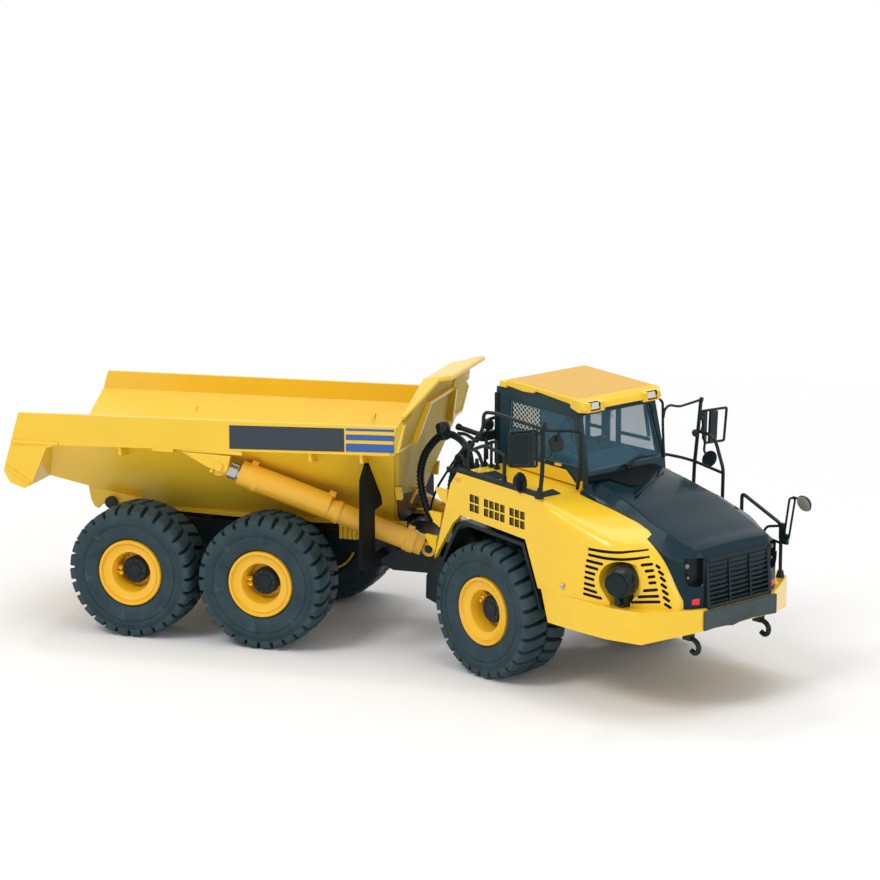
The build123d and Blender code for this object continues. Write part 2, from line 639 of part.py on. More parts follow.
SIDE_WINDOWS = [[(76.0, 58.6), (77.0, 72.6), (85.6, 72.2), (85.6, 58.6)],
                [(87.0, 58.6), (87.0, 72.1), (101.0, 71.4), (104.4, 58.6)]]
SCREEN_LOW = CAB_HALF - 1.6
SCREEN_HIGH = CAB_HALF - 2.3
WINDSCREEN = [(-SCREEN_LOW, 58.2), (-SCREEN_HIGH, 71.8), (SCREEN_HIGH, 71.8), (SCREEN_LOW, 58.2)]
REAR_HALF = CAB_HALF - 2.2
REAR_WINDOW = [(-REAR_HALF, 59.0), (-REAR_HALF, 72.4), (REAR_HALF, 72.4), (REAR_HALF, 59.0)]


def cab_windows():
    """Panes in the window openings: four at the sides, the screen and the rear one."""
    panes = []
    for outline in SIDE_WINDOWS:
        cx = sum(p[0] for p in outline) / 4
        cz = sum(p[1] for p in outline) / 4
        small = [(cx + (x - cx) * 0.975, cz + (z - cz) * 0.985) for x, z in outline]
        pane = prism_y(small, CAB_HALF - 0.9, CAB_HALF - 0.9 + GLASS)
        panes += with_mirror(pane).solids()
    lean = (102.4 - 107.2) / (73.4 - 57.2)
    screen = [(y * 0.985, 65 + (z - 65) * 0.985) for y, z in WINDSCREEN]
    panes.append(prism_x(screen, 106.2 - 0.1, 106.2 - 0.1 + GLASS, lean, 57.2).solid())
    rear = [(y * 0.985, 65 + (z - 65) * 0.985) for y, z in REAR_WINDOW]
    panes.append(prism_x(rear, 71.7, 71.7 + GLASS).solid())
    return Compound(children=panes)


ROOF_EDGE = 0.4          # roof beyond the cab's sides


def cab_roof():
    """Roof slab with lamp corners that hang down at the front."""
    half = CAB_HALF + ROOF_EDGE
    slab = prism_y([(72.4, 74.8), (72.4, 77.6), (76.4, 78.3), (103.0, 76.6), (106.0, 75.6),
                    (106.0, 73.0), (103.2, 73.0), (102.5, 73.6)], -half, half)
    for side in (1, -1):
        corner = [(107.0, side * (half - 2.6)), (103.2, side * (half + 0.8)), (107.0, side * (half + 0.8))]
        slab = slab - prism_z(corner, 70.0, 80.0)
    return slab


def cab_sill():
    """Yellow wall beside the cab, left side, between the deck and the windows."""
    return prism_y([(77.0, DECK_Z + 0.85), (77.0, 58.0), (99.5, 57.4), (103.8, 53.8)],
                   CAB_HALF + 0.2, CAB_HALF + 1.0)


def seat():
    base = block(83.0, 89.0, -2.4, 2.4, CAB_FLOOR_Z + CAB_WALL + FIT, 57.0)
    cushion = block(81.5, 90.0, -4.0, 4.0, 57.0, 59.0)
    back = prism_y([(80.0, 58.0), (77.6, 68.0), (79.6, 68.6), (82.6, 59.0)], -3.8, 3.8)
    return base + cushion + back


def dashboard():
    low = CAB_FLOOR_Z + CAB_WALL + FIT
    body = prism_y([(98.0, low), (96.6, 60.0), (104.0, 57.6), (105.6, low)],
                   -CAB_HALF + CAB_WALL + 2.0, CAB_HALF - CAB_WALL - 2.0)
    return body - rod(*STEERING_COLUMN, 0.5 + FIT)


STEERING_COLUMN = ((97.2, 0, 57.6), (94.6, 0, 62.4))


def steering_wheel():
    centre = STEERING_COLUMN[1]
    plane = Plane(origin=centre, z_dir=(-0.5, 0, 0.866))
    ring = plane * Torus(3.2, 0.4)
    bar = plane * Box(6.2, 0.7, 0.5)
    column = rod(*STEERING_COLUMN, 0.5)
    return ring + bar + column


# ------------------------------------------------------------------ rails and mirrors
RIGHT_RAIL_Y = -30.3


def deck_top(x):
    """Height of the deck, which falls slightly to the front."""
    return DECK_Z + 0.8 - (x - 73.9) * (1.4 / 32.0)


def foot_bar(y):
    ends = [(x, y, deck_top(x) + 0.7 + FIT) for x in (75.0, 105.4)]
    return rod(*ends, 0.7)


def handrail_right():
    """Rail round the right deck: foot bar, two posts, top bar and a bracket to the cab."""
    y = RIGHT_RAIL_Y
    foot = foot_bar(y)
    posts = [tube([(90.6, y, 55.0), (90.6, y, 62.6)]), tube([(105.3, y, 54.4), (107.2, y, 73.2)])]
    top = tube([(79.6, y, 55.2), (79.6, y, 66.0), (83.6, y, 72.6), (86.0, y, 73.6), (107.2, y, 72.2)])
    mid = tube([(79.6, y, 62.0), (84.0, y, 63.4), (90.6, y, 62.6)])
    inner = -CAB_HALF - 2.8
    link = tube([(107.2, y, 71.4), (106.2, inner - 1.4, 69.6), (106.2, inner, 68.6), (106.2, inner, 53.6)])
    return foot + posts[0] + posts[1] + top + mid + link


def handrail_left():
    """Rails of the left stairway: a post on the landing, a lower one on a tread, and the bar to the deck."""
    y = 28.0
    post = tube([(106.0, y, LANDING_Z + FIT), (107.5, y, 63.9), (108.2, y, 71.2)])
    outer = tube([(107.5, y, 63.1), (112.4, y, 62.6), (114.1, y, 61.3), (117.2, y, 53.9), (117.0, y, 37.6 + FIT)])
    cross = tube([(106.4, y, 54.0), (117.1, y, 52.8)])
    link = tube([(106.4, y, 54.2), (104.4, 21.0, 56.9), (104.0, 16.4, 57.3), (104.0, 16.4, deck_top(104.0) + FIT)])
    return post + outer + cross + link


def mirror_right():
    """Framed rectangular mirror on the top rail, with a round lamp housing below."""
    y = RIGHT_RAIL_Y
    glass = block(105.8, 107.2, -40.9, -32.3, 62.6, 72.2)
    arm = tube([(106.4, y - TUBE - 0.3, 70.6), (106.4, -33.0, 70.6)])
    return glass + arm


def mirror_left():
    """Rectangular mirror beside the left rail, on an arm that comes from the cab roof."""
    glass = block(107.4, 108.6, 31.4, 38.6, 59.4, 68.6)
    arm = tube([(105.4, CAB_HALF + ROOF_EDGE + 0.15, 74.4), (107.2, 17.6, 74.8), (107.6, 24.0, 73.6), (108.0, 33.4, 71.4),
                (108.0, 35.0, 68.0)])
    return glass + arm


def front_rail():
    """Guard rail round the left front corner, with loops and the pole of the round mirror."""
    y = 24.2
    rail = tube([(127.6, y, 33.6 + FIT), (127.6, y, 47.8), (128.3, y, 50.2), (142.5, y, 45.0), (142.6, y, 34.2),
                 (140.9, 26.0, 29.2)])
    loop = tube([(136.4, y, 47.1), (136.4, y, 41.0), (142.5, y, 39.6)])
    pole = tube([(142.5, y, 39.9), (144.4, y, 39.6), (146.0, y, 50.6)])
    dish = rod((146.0, y, 51.4), (147.4, y, 51.0), 2.5)
    return rail + loop + pole + dish


def side_cover(side):
    """Round black cover on a stem, on the bumper's step beside the headlamp."""
    y = side * 27.6
    dish = rod((136.0, y, 36.6), (138.2, side * 28.8, 36.6), 4.5)
    stem = tube([(137.2, side * 28.0, 33.0), (138.0, side * 27.0, 29.4), (138.0, side * 26.9, BASE_Z + 0.05)], 0.7)
    return dish + stem


HOSE_ROUTES = [
    (1.5, [(64.4, -22.6, 54.2), (60.2, -22.4, 54.0), (58.2, -22.2, 50.0), (58.4, -22.0, 44.0), (61.4, -21.6, 38.0)]),
    (0.9, [(71.2, -19.6, 54.9), (70.0, -19.2, 57.6), (64.8, -18.6, 57.8), (62.2, -18.4, 53.0), (62.6, -18.6, 45.0), (65.0, -19.0, 38.6)]),
    (0.7, [(73.4, -23.6, 57.6), (68.4, -23.6, 58.0), (65.8, -23.6, 54.8)]),
]


def deck_hoses():
    """Stiff hoses behind the deck, with the bar that they hang from."""
    bar = rod((63.6, -25.6, 54.6), (72.6, -18.4, 54.8), 1.2)
    for radius, points in HOSE_ROUTES:
        bar = bar + tube(points, radius)
    return bar


def front_unit_pieces():
    arch = arch_lining()
    closed = fender()
    sill = cab_sill()
    return {
        "front_frame": front_frame(),
        "front_axle": axle(DRAWN_AXLE_X, AXLE_BALL - 1.9),
        "engine_bay": engine_bay(),
        "fender_left": stair_fender(),
        "fender_right": mirrored(closed),
        "wheel_arches": with_mirror(arch),
        "bumper": bumper(),
        "bumper_plate": bumper_plate(),
        "tow_hooks": tow_hooks(),
        "bonnet": bonnet(),
        "grille": grille(),
        "headlamps": headlamps(),
        "cab_shell": cab_shell(),
        "cab_windows": cab_windows(),
        "cab_roof": cab_roof(),
        "cab_sills": with_mirror(sill),
        "seat": seat(),
        "dashboard": dashboard(),
        "steering_wheel": steering_wheel(),
        "handrail_right": handrail_right(),
        "handrail_left": handrail_left(),
        "mirror_right": mirror_right(),
        "mirror_left": mirror_left(),
        "front_rail": front_rail(),
        "side_cover": side_cover(-1),
        "deck_hoses": deck_hoses(),
    }


# ------------------------------------------------------------------ the whole model
WHEELS = [("rear", REAR_AXLE_X), ("middle", 0.0), ("front", DRAWN_AXLE_X)]


def all_pieces():
    """Every node of the model, in place, with the front unit turned."""
    pieces = {
        "rear_frame": rear_frame(),
        "dump_hinge_pin": hinge_pin(),
        "hoist_crossbar": hoist_crossbar(),
        "bogie_beams": bogie_beams(),
        "rear_axle": axle(REAR_AXLE_X, AXLE_BALL),
        "middle_axle": axle(0.0, AXLE_BALL),
        "mudguard_plates": mudguard_plates(),
        "hitch_yoke": hitch_yoke(),
    }
    pieces.update(dump_body_pieces())
    barrel, ram = hoist_barrel(), hoist_rod()
    pieces.update({"hoist_barrel_left": barrel, "hoist_barrel_right": mirrored(barrel),
                   "hoist_rod_left": ram, "hoist_rod_right": mirrored(ram)})
    front = front_unit_pieces()
    for name, x in WHEELS:
        for side_name, side in (("left", 1), ("right", -1)):
            wheel = {f"tyre_{name}_{side_name}": tyre(x, side),
                     f"rim_{name}_{side_name}": rim(x, side)}
            (front if name == "front" else pieces).update(wheel)
    pieces.update({name: steered(shape) for name, shape in front.items()})
    return pieces


def main():
    os.makedirs("parts", exist_ok=True)
    pieces = all_pieces()
    box = Compound(children=[Compound(shape.solids()) for shape in pieces.values()]).bounding_box()
    shift = Vector(-(box.min.X + box.max.X) / 2, -(box.min.Y + box.max.Y) / 2, -box.min.Z)
    print("shift to the middle of the box's floor:", [round(v, 4) for v in shift])
    for name, shape in pieces.items():
        moved = [Pos(shift) * solid for solid in shape.solids()]
        export_step(Compound(children=moved), f"parts/{name}.step")


if __name__ == "__main__":
    main()
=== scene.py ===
"""Articulated dump truck, die-cast scale model: finished surfaces, small parts and stage."""
import json
import math
from functools import cache

import bmesh
import bpy
from bpy.props import FloatProperty, FloatVectorProperty, IntProperty, PointerProperty
from mathutils import Matrix, Vector
from mathutils.bvhtree import BVHTree


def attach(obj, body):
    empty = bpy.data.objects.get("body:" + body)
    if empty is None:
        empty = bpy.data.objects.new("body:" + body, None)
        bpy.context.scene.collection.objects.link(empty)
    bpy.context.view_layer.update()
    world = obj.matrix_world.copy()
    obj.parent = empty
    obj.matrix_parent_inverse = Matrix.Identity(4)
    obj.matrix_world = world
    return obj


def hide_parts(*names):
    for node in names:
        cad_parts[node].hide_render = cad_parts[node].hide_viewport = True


bl_info = {
    "name": "Articulated Dump Truck",
    "version": (1, 0, 0),
    "blender": (4, 5, 0),
    "location": "3D View > Sidebar > Dump Truck",
    "description": "Builds the visible parts, finishes and stage of a die-cast articulated dump truck",
    "category": "Object",
}

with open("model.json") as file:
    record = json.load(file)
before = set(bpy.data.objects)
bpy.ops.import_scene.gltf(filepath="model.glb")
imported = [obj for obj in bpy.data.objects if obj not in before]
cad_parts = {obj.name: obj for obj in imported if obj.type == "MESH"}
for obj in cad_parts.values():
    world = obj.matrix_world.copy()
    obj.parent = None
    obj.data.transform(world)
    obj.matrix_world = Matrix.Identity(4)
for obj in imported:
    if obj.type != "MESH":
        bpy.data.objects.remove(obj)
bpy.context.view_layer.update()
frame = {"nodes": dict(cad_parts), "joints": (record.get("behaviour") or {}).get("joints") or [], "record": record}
NODES = frame["nodes"]
RECORD = frame["record"]
JOINTS = {joint["name"]: joint for joint in frame["joints"]}
HOLDERS = {node: body for body, members in RECORD["behaviour"]["bodies"].items() for node in members}
SLOTS = {part["node"]: part["material_slot"] for part in RECORD["subparts"]}

# ---------------------------------------------------------------- places, in mm on the straight truck
MM = 0.001
AXLES = {"rear": -39.4, "middle": 0.0, "front": 87.0}  # x of each axle
AXLE_Z = 18.7
WHEEL_Y = 26.9
SIDES = {"left": 1, "right": -1}
MERGE = 1e-4                     # corners nearer than this become one


def joint_place(name):
    return Vector(JOINTS[name]["pos_m"])


def rest_frames():
    """Matrices from mm on the straight truck to metres at rest, for the rear and for the steered front."""
    middle = (joint_place("wheel_middle_left_roll") + joint_place("wheel_middle_right_roll")) / 2
    origin = Vector((middle.x, middle.y, 0))
    rear = Matrix.Translation(origin) @ Matrix.Scale(MM, 4)
    pivot = (joint_place("steering") - origin) / MM
    pivot.z = 0
    axle = JOINTS["wheel_front_left_roll"]["axis"]
    turn = Matrix.Rotation(math.atan2(-axle[0], axle[1]), 4, "Z")
    return rear, rear @ Matrix.Translation(pivot) @ turn @ Matrix.Translation(-pivot)


REAR, FRONT = rest_frames()


# ---------------------------------------------------------------- settings
def colour(name, description, *rgb):
    return FloatVectorProperty(name=name, description=description, default=rgb, subtype="COLOR",
                               size=3, min=0, max=1)


def length(name, description, millimetres):
    return FloatProperty(name=name, description=description, default=millimetres * MM, min=0,
                         unit="LENGTH", subtype="DISTANCE", precision=5)


class TruckColours(bpy.types.PropertyGroup):
    """Paint, plastic and rubber colours."""
    yellow: colour("Enamel yellow", "Sprayed enamel on the front bodywork", 0.93, 0.585, 0.022)
    # The roof colour is the bodywork yellow darkened and dulled: painted shade with a painted pale sheen on the
    # roof top.
    roof: colour("Roof yellow", "Sprayed enamel on the cab roof", 0.74, 0.43, 0.08)
    tipper: colour("Tipper yellow", "Sprayed enamel on the dump body", 0.89, 0.565, 0.028)
    hoist: colour("Hoist yellow", "Enamel on the hoist barrels", 0.86, 0.46, 0.03)
    rim: colour("Rim yellow", "Enamel on the wheel rims", 0.90, 0.50, 0.018)
    charcoal: colour("Bonnet charcoal", "Moulded bonnet and cab frame", 0.009, 0.030, 0.040)
    rubber: colour("Tyre rubber", "Soft vinyl of the tyres", 0.026, 0.050, 0.060)
    plastic: colour("Black plastic", "Handrails, mirrors and deck parts", 0.005, 0.012, 0.014)
    chassis: colour("Chassis black", "Satin paint of the frames and axles", 0.006, 0.013, 0.016)
    plate: colour("Plate grey", "Bumper plate", 0.036, 0.056, 0.056)
    olive: colour("Vent shadow", "Depth of the vents and slots", 0.050, 0.036, 0.008)
    glass: colour("Glass tint", "Tinted clear plastic of the windows", 0.075, 0.20, 0.28)
    trim: colour("Cab trim", "Seat and dashboard", 0.020, 0.100, 0.170)
    steel: colour("Steel", "Bare machined fittings", 0.50, 0.50, 0.48)
    navy: colour("Panel navy", "Blank name panel on the dump rail", 0.016, 0.028, 0.042)
    blue: colour("Stripe blue", "Stripes beside the blank panel", 0.022, 0.100, 0.36)
    floor: colour("Floor", "Studio floor and backdrop", 0.90, 0.90, 0.90)


class TruckSizes(bpy.types.PropertyGroup):
    """Sizes and counts of the small parts."""
    lugs: IntProperty(name="Tread lugs", description="Lugs on each side of a tyre", default=28, min=6, max=60)
    lug_height: length("Lug height", "Depth of the tread grooves", 1.6)
    edge: length("Edge rounding", "Radius of the dump body's and the cab's edges", 0.28)
    rim_bolts: IntProperty(name="Rim bolts", description="Bolts round each hub", default=10, min=3, max=30)
    rail: length("Handrail thickness", "Diameter of the handrails and mirror arms", 1.0)


# ---------------------------------------------------------------- node trees
class Value:
    """A number socket. Arithmetic on it adds Math nodes to its tree."""

    def __init__(self, tree, socket):
        self.tree, self.socket = tree, socket

    def math(self, operation, *numbers):
        return self.tree.node("ShaderNodeMath", {"operation": operation}, dict(enumerate(numbers)))

    def __add__(self, other):
        return self.math("ADD", self, other)

    def __mul__(self, other):
        return self.math("MULTIPLY", self, other)

    def __truediv__(self, other):
        return self.math("DIVIDE", self, other)

    def __rtruediv__(self, other):
        return self.math("DIVIDE", other, self)

    __radd__, __rmul__ = __add__, __mul__


class Tree:
    """Adds nodes to one node tree."""

    def __init__(self, nodes_of):
        self.tree = nodes_of
        self.tree.nodes.clear()

    def node(self, kind, settings, sockets, output=0):
        """One node: its settings, then its sockets' values or links. Returns one output, if it has any."""
        made = self.tree.nodes.new(kind)
        for key, value in settings.items():
            if key == "stops":
                self.set_stops(made.color_ramp, value)
            else:
                setattr(made, key, value)
        for key, value in sockets.items():
            self.join(made.inputs[key], value)
        return Value(self, made.outputs[output]) if made.outputs else made

    def join(self, socket, value):
        if isinstance(value, Value):
            self.tree.links.new(value.socket, socket)
        elif socket.type == "RGBA" and len(value) == 3:
            socket.default_value = (*value, 1)
        else:
            socket.default_value = value

    @staticmethod
    def set_stops(ramp, stops):
        for element, (place, level) in zip(ramp.elements, stops):
            element.position = place
            element.color = (level, level, level, 1)

    def background_rays(self):
        """One where the eye, a reflection or a clear pane looks straight at a surface."""
        seen = [self.node("ShaderNodeLightPath", {}, {}, f"Is {kind} Ray")
                for kind in ("Camera", "Transmission", "Glossy")]
        return seen[0].math("MAXIMUM", seen[0].math("MAXIMUM", seen[0], seen[1]), seen[2])


class Paint(Tree):
    """A procedural material: one Principled shader and the nodes that feed it."""

    def __init__(self, name, **constants):
        self.material = bpy.data.materials.new(name)
        self.material.use_nodes = True
        super().__init__(self.material.node_tree)
        sockets = {socket.replace("_", " "): value for socket, value in constants.items()}
        self.surface = self.node("ShaderNodeBsdfPrincipled", {}, sockets)
        self.output = self.node("ShaderNodeOutputMaterial", {}, {"Surface": self.surface})

    def feed(self, socket, value):
        self.join(self.surface.socket.node.inputs[socket], value)

    def place(self):
        return self.node("ShaderNodeTexCoord", {}, {}, "Object")

    def noise(self, per_metre, detail=3, roughness=0.5):
        return self.node("ShaderNodeTexNoise", {}, {"Vector": self.place(), "Scale": per_metre,
                                                    "Detail": detail, "Roughness": roughness})

    def ramp(self, value, low, high):
        """Zero up to the low place, one from the high place on."""
        return self.node("ShaderNodeValToRGB", {"stops": ((low, 0.0), (high, 1.0))}, {0: value})

    def mix(self, factor, first, second):
        return self.node("ShaderNodeMix", {"data_type": "RGBA"}, {0: factor, 6: first, 7: second}, 2)

    def mottled(self, base, dark, light, noise, low=0.35, high=0.70):
        """A colour that drifts softly between a darker and a lighter shade of itself."""
        return self.mix(self.ramp(noise, low, high), scaled(base, dark), scaled(base, light))

    def edges(self):
        """Where a surface turns outwards sharply: the mask of the painted edge highlights."""
        return self.ramp(self.node("ShaderNodeNewGeometry", {}, {}, "Pointiness"), 0.52, 0.60)

    def bump(self, height, distance_mm):
        self.feed("Normal", self.node("ShaderNodeBump", {}, {
            "Height": height, "Distance": distance_mm * MM, "Strength": 1.0}))


# ---------------------------------------------------------------- finishes
FINISH = {}


def scaled(rgb, *factors):
    """A colour made darker or lighter, by one factor or by one for each channel."""
    return tuple(min(1, c * k) for c, k in zip(rgb, factors * 3 if len(factors) == 1 else factors))


def enamel(name, base, roughness=0.27, shine=0.42, coat=0.25):
    """Sprayed enamel: faint orange peel, soft mottling, a few dust specks."""
    paint = Paint(name, Specular_IOR_Level=shine, Coat_Weight=coat, Coat_Roughness=0.10)
    paint.feed("Base Color", paint.mottled(base, 0.975, 1.015, paint.noise(45, 4), high=0.68))
    dust = paint.ramp(paint.noise(2600, 2), 0.70, 0.78)
    paint.feed("Roughness", roughness + 0.05 * paint.noise(200) + 0.10 * dust)
    paint.bump(paint.noise(900, 2) * 0.7 + dust * 0.10, 0.006)
    return paint.material


def moulded(name, base, roughness=0.4, grain=2400, depth_mm=0.03, spread=1.25, shine=0.24):
    """Moulded plastic or satin paint: fine grain, slight changes of gloss, painted highlights on the edges."""
    paint = Paint(name, Specular_IOR_Level=shine)
    tint = paint.mottled(base, 0.85, spread, paint.noise(140, 4))
    # Lighter colour on sharp outward edges: a painted highlight.
    edge_highlight = tuple(min(1, c * 2.2 + 0.006) for c in base)
    paint.feed("Base Color", paint.mix(paint.edges() * 0.3, tint, edge_highlight))
    fine = paint.noise(grain)
    paint.feed("Roughness", roughness - 0.06 + 0.14 * fine)
    paint.bump(fine, depth_mm)
    return paint.material


def rubber(name, base):
    """Soft vinyl: matt, fine pebble, painted pale highlights on the edges."""
    paint = Paint(name, Specular_IOR_Level=0.2)
    tint = paint.mottled(base, 0.78, 1.22, paint.noise(160, 5, 0.6), low=0.36)
    # Paler colour on sharp outward edges: a painted highlight.
    paint.feed("Base Color", paint.mix(paint.edges() * 0.45, tint, scaled(base, 2.2)))
    fine = paint.noise(3000, 4, 0.6)
    paint.feed("Roughness", 0.50 + 0.18 * fine)
    paint.bump(fine, 0.05)
    return paint.material


def clear(name, tint, cover=0.23):
    """Tinted clear plastic: mostly see-through, with glossy faces and faint smears."""
    paint = Paint(name, Base_Color=tuple(tint), Specular_IOR_Level=0.36)
    smear = paint.noise(320, 4)
    paint.feed("Roughness", 0.03 + 0.05 * smear)
    paint.feed("Alpha", cover + 0.08 * smear)
    return paint.material


def metal(name, base, roughness=0.28):
    """Machined steel with fine turning marks."""
    paint = Paint(name, Metallic=1.0)
    marks = paint.noise(5200, 2)
    paint.feed("Base Color", paint.mix(marks, scaled(base, 0.8), scaled(base, 1.15)))
    paint.feed("Roughness", roughness + 0.18 * marks)
    paint.bump(marks, 0.01)
    return paint.material


def make_finishes(colours):
    return {
        "body_yellow": enamel("tipper_enamel", colours.tipper, 0.30),
        "yellow_paint": enamel("bodywork_enamel", colours.yellow, 0.22),
        # Darker, duller roof enamel: painted shade with a painted pale sheen.
        "roof": enamel("roof_enamel", colours.roof, 0.40, 0.16, 0.0),
        # The front wall's colour is the tipper yellow darkened and greyed: painted shade and a painted grey
        # reflection.
        "front_wall": enamel("front_wall_enamel", scaled(colours.tipper, 0.70, 0.78, 2.1), 0.45, 0.12, 0.0),
        "bonnet": enamel("bonnet_satin", scaled(colours.charcoal, 0.55, 0.80, 0.85), 0.20, 0.14, 0.05),
        "underside": enamel("underside_shadow", (0.15, 0.075, 0.02), 0.5, 0.1, 0.0),
        # Matt grey-beige on the round mirror's face and the headlamp reflectors: a painted reflection.
        "mirror_face": moulded("mirror_face", (0.20, 0.20, 0.16), 0.3, 1800, 0.004),
        "flap": moulded("mud_flap", (0.0035, 0.005, 0.005), 0.6, 1800, 0.015, shine=0.08),
        "hoist": enamel("hoist_enamel", colours.hoist, 0.32),
        "rim_yellow": enamel("rim_enamel", colours.rim, 0.24),
        "bonnet_charcoal": moulded("bonnet_charcoal", colours.charcoal, 0.24, 1200, 0.006),
        "black_plastic": moulded("black_plastic", colours.plastic, 0.30, 1800, 0.015),
        "chassis_black": moulded("chassis_black", colours.chassis, 0.34, 1800, 0.015),
        "plate_grey": moulded("plate_grey", colours.plate, 0.34, 1500, 0.010),
        "tyre": rubber("tyre_vinyl", colours.rubber),
        "glass": clear("tinted_glass", colours.glass),
        "steel": metal("machined_steel", colours.steel),
        "lamp": clear("lamp_lens", (0.9, 0.92, 0.95), 0.3),
        "gloss_black": moulded("gloss_black", colours.plastic, 0.12, 900, 0.003),
        "vent": moulded("vent_shadow", colours.olive, 0.6, 2400, 0.02),
        # Yellow ribs behind the vents coloured brown from the vent shadow: painted shade.
        "vent_rib": moulded("vent_ribs", scaled(colours.olive, 3.2), 0.5, 2400, 0.02),
        "trim": moulded("cab_trim", colours.trim, 0.45),
        "seal": moulded("glass_edge", (0.05, 0.10, 0.13), 0.25, 900, 0.01),
        "lattice": moulded("lattice_print", (0.55, 0.50, 0.40), 0.4, 1500, 0.01, 1.05),
        "mirror": metal("mirror_silver", (0.62, 0.66, 0.67), 0.14),
        # Glossy near-black: the right mirror's dark glass, and painted shade on the panel behind the rear glass.
        "dark_gloss_and_shade": moulded("mirror_dark", (0.003, 0.009, 0.011), 0.10, 900, 0.002, shine=0.14),
        "red": moulded("red_lens", (0.75, 0.03, 0.05), 0.2, 900, 0.01, 1.1),
        "orange": moulded("orange_reflector", (0.90, 0.26, 0.05), 0.25, 900, 0.01, 1.1),
        "tread_plate": moulded("non_slip_plate", colours.plastic, 0.6, 1500, 0.12),
        "navy": enamel("panel_print", colours.navy, 0.35),
        "blue": enamel("stripe_print", colours.blue, 0.33),
    }


# ---------------------------------------------------------------- geometry node trees
class Growth(Tree):
    """A geometry tree with named inputs, which ends in real faces with their material."""

    def __init__(self, name, inputs):
        super().__init__(bpy.data.node_groups.new(name, "GeometryNodeTree"))
        sockets = self.tree.interface
        for label, kind in {"Geometry": "Geometry", **inputs, "Finish": "Material"}.items():
            sockets.new_socket(label, in_out="INPUT", socket_type=f"NodeSocket{kind}")
        sockets.new_socket("Geometry", in_out="OUTPUT", socket_type="NodeSocketGeometry")
        entry = self.tree.nodes.new("NodeGroupInput")
        self.given = {socket.name: Value(self, socket) for socket in entry.outputs}

    def copies(self, points, instance, turns):
        """The instance at every point, made real and coated."""
        made = self.node("GeometryNodeInstanceOnPoints", {},
                         {"Points": points, "Instance": instance, **turns})
        real = self.node("GeometryNodeRealizeInstances", {}, {"Geometry": made})
        coated = self.node("GeometryNodeSetMaterial", {},
                           {"Geometry": real, "Material": self.given["Finish"]})
        self.node("NodeGroupOutput", {}, {0: coated})
        return self.tree


@cache
def ring_tree():
    """Repeats the given shape round the Y axis."""
    tree = Growth("repeat_round_axle", {"Count": "Int", "Phase": "Float"})
    count = tree.given["Count"]
    spots = tree.node("GeometryNodeMeshLine", {}, {"Count": count, "Offset": (0.0, 0.0, 0.0)})
    angle = tree.node("GeometryNodeInputIndex", {}, {}) / count * math.tau + tree.given["Phase"]
    turn = tree.node("ShaderNodeCombineXYZ", {}, {"Y": angle})
    return tree.copies(spots, tree.given["Geometry"], {"Rotation": turn})


@cache
def row_tree():
    """Repeats the given shape along a straight step."""
    tree = Growth("repeat_along_step", {"Count": "Int", "Step": "Vector"})
    spots = tree.node("GeometryNodeMeshLine", {}, {"Count": tree.given["Count"],
                                                   "Offset": tree.given["Step"]})
    return tree.copies(spots, tree.given["Geometry"], {})


@cache
def rib_tree():
    """Puts short round ribs along the given path."""
    tree = Growth("ribs_along_path", {"Count": "Int", "Radius": "Float", "Depth": "Float"})
    curve = tree.node("GeometryNodeMeshToCurve", {}, {"Mesh": tree.given["Geometry"]})
    spots = tree.node("GeometryNodeCurveToPoints", {"mode": "COUNT"},
                      {"Curve": curve, "Count": tree.given["Count"]})
    tangent = Value(tree, spots.socket.node.outputs["Tangent"])
    rib = tree.node("GeometryNodeMeshCylinder", {}, {"Vertices": 16, "Radius": tree.given["Radius"],
                                                     "Depth": tree.given["Depth"]})
    turn = tree.node("FunctionNodeAlignRotationToVector", {"axis": "Z"}, {"Vector": tangent})
    return tree.copies(spots, rib, {"Rotation": turn})


def grown(shape, tree, finish, **inputs):
    """Runs a tree on a drawn shape and returns the plain mesh, still in millimetres."""
    source = spare_object(shape.mesh("seed"), finish)
    source.data.materials.clear()
    modifier = source.modifiers.new("grow", "NODES")
    modifier.node_group = tree
    inputs["Finish"] = FINISH[finish]
    for item in tree.interface.items_tree:
        if item.in_out == "INPUT" and item.name in inputs:
            modifier[item.identifier] = inputs[item.name]
    mesh = plain_mesh(source)
    source.modifiers.remove(modifier)
    bpy.data.objects.remove(source)
    return mesh


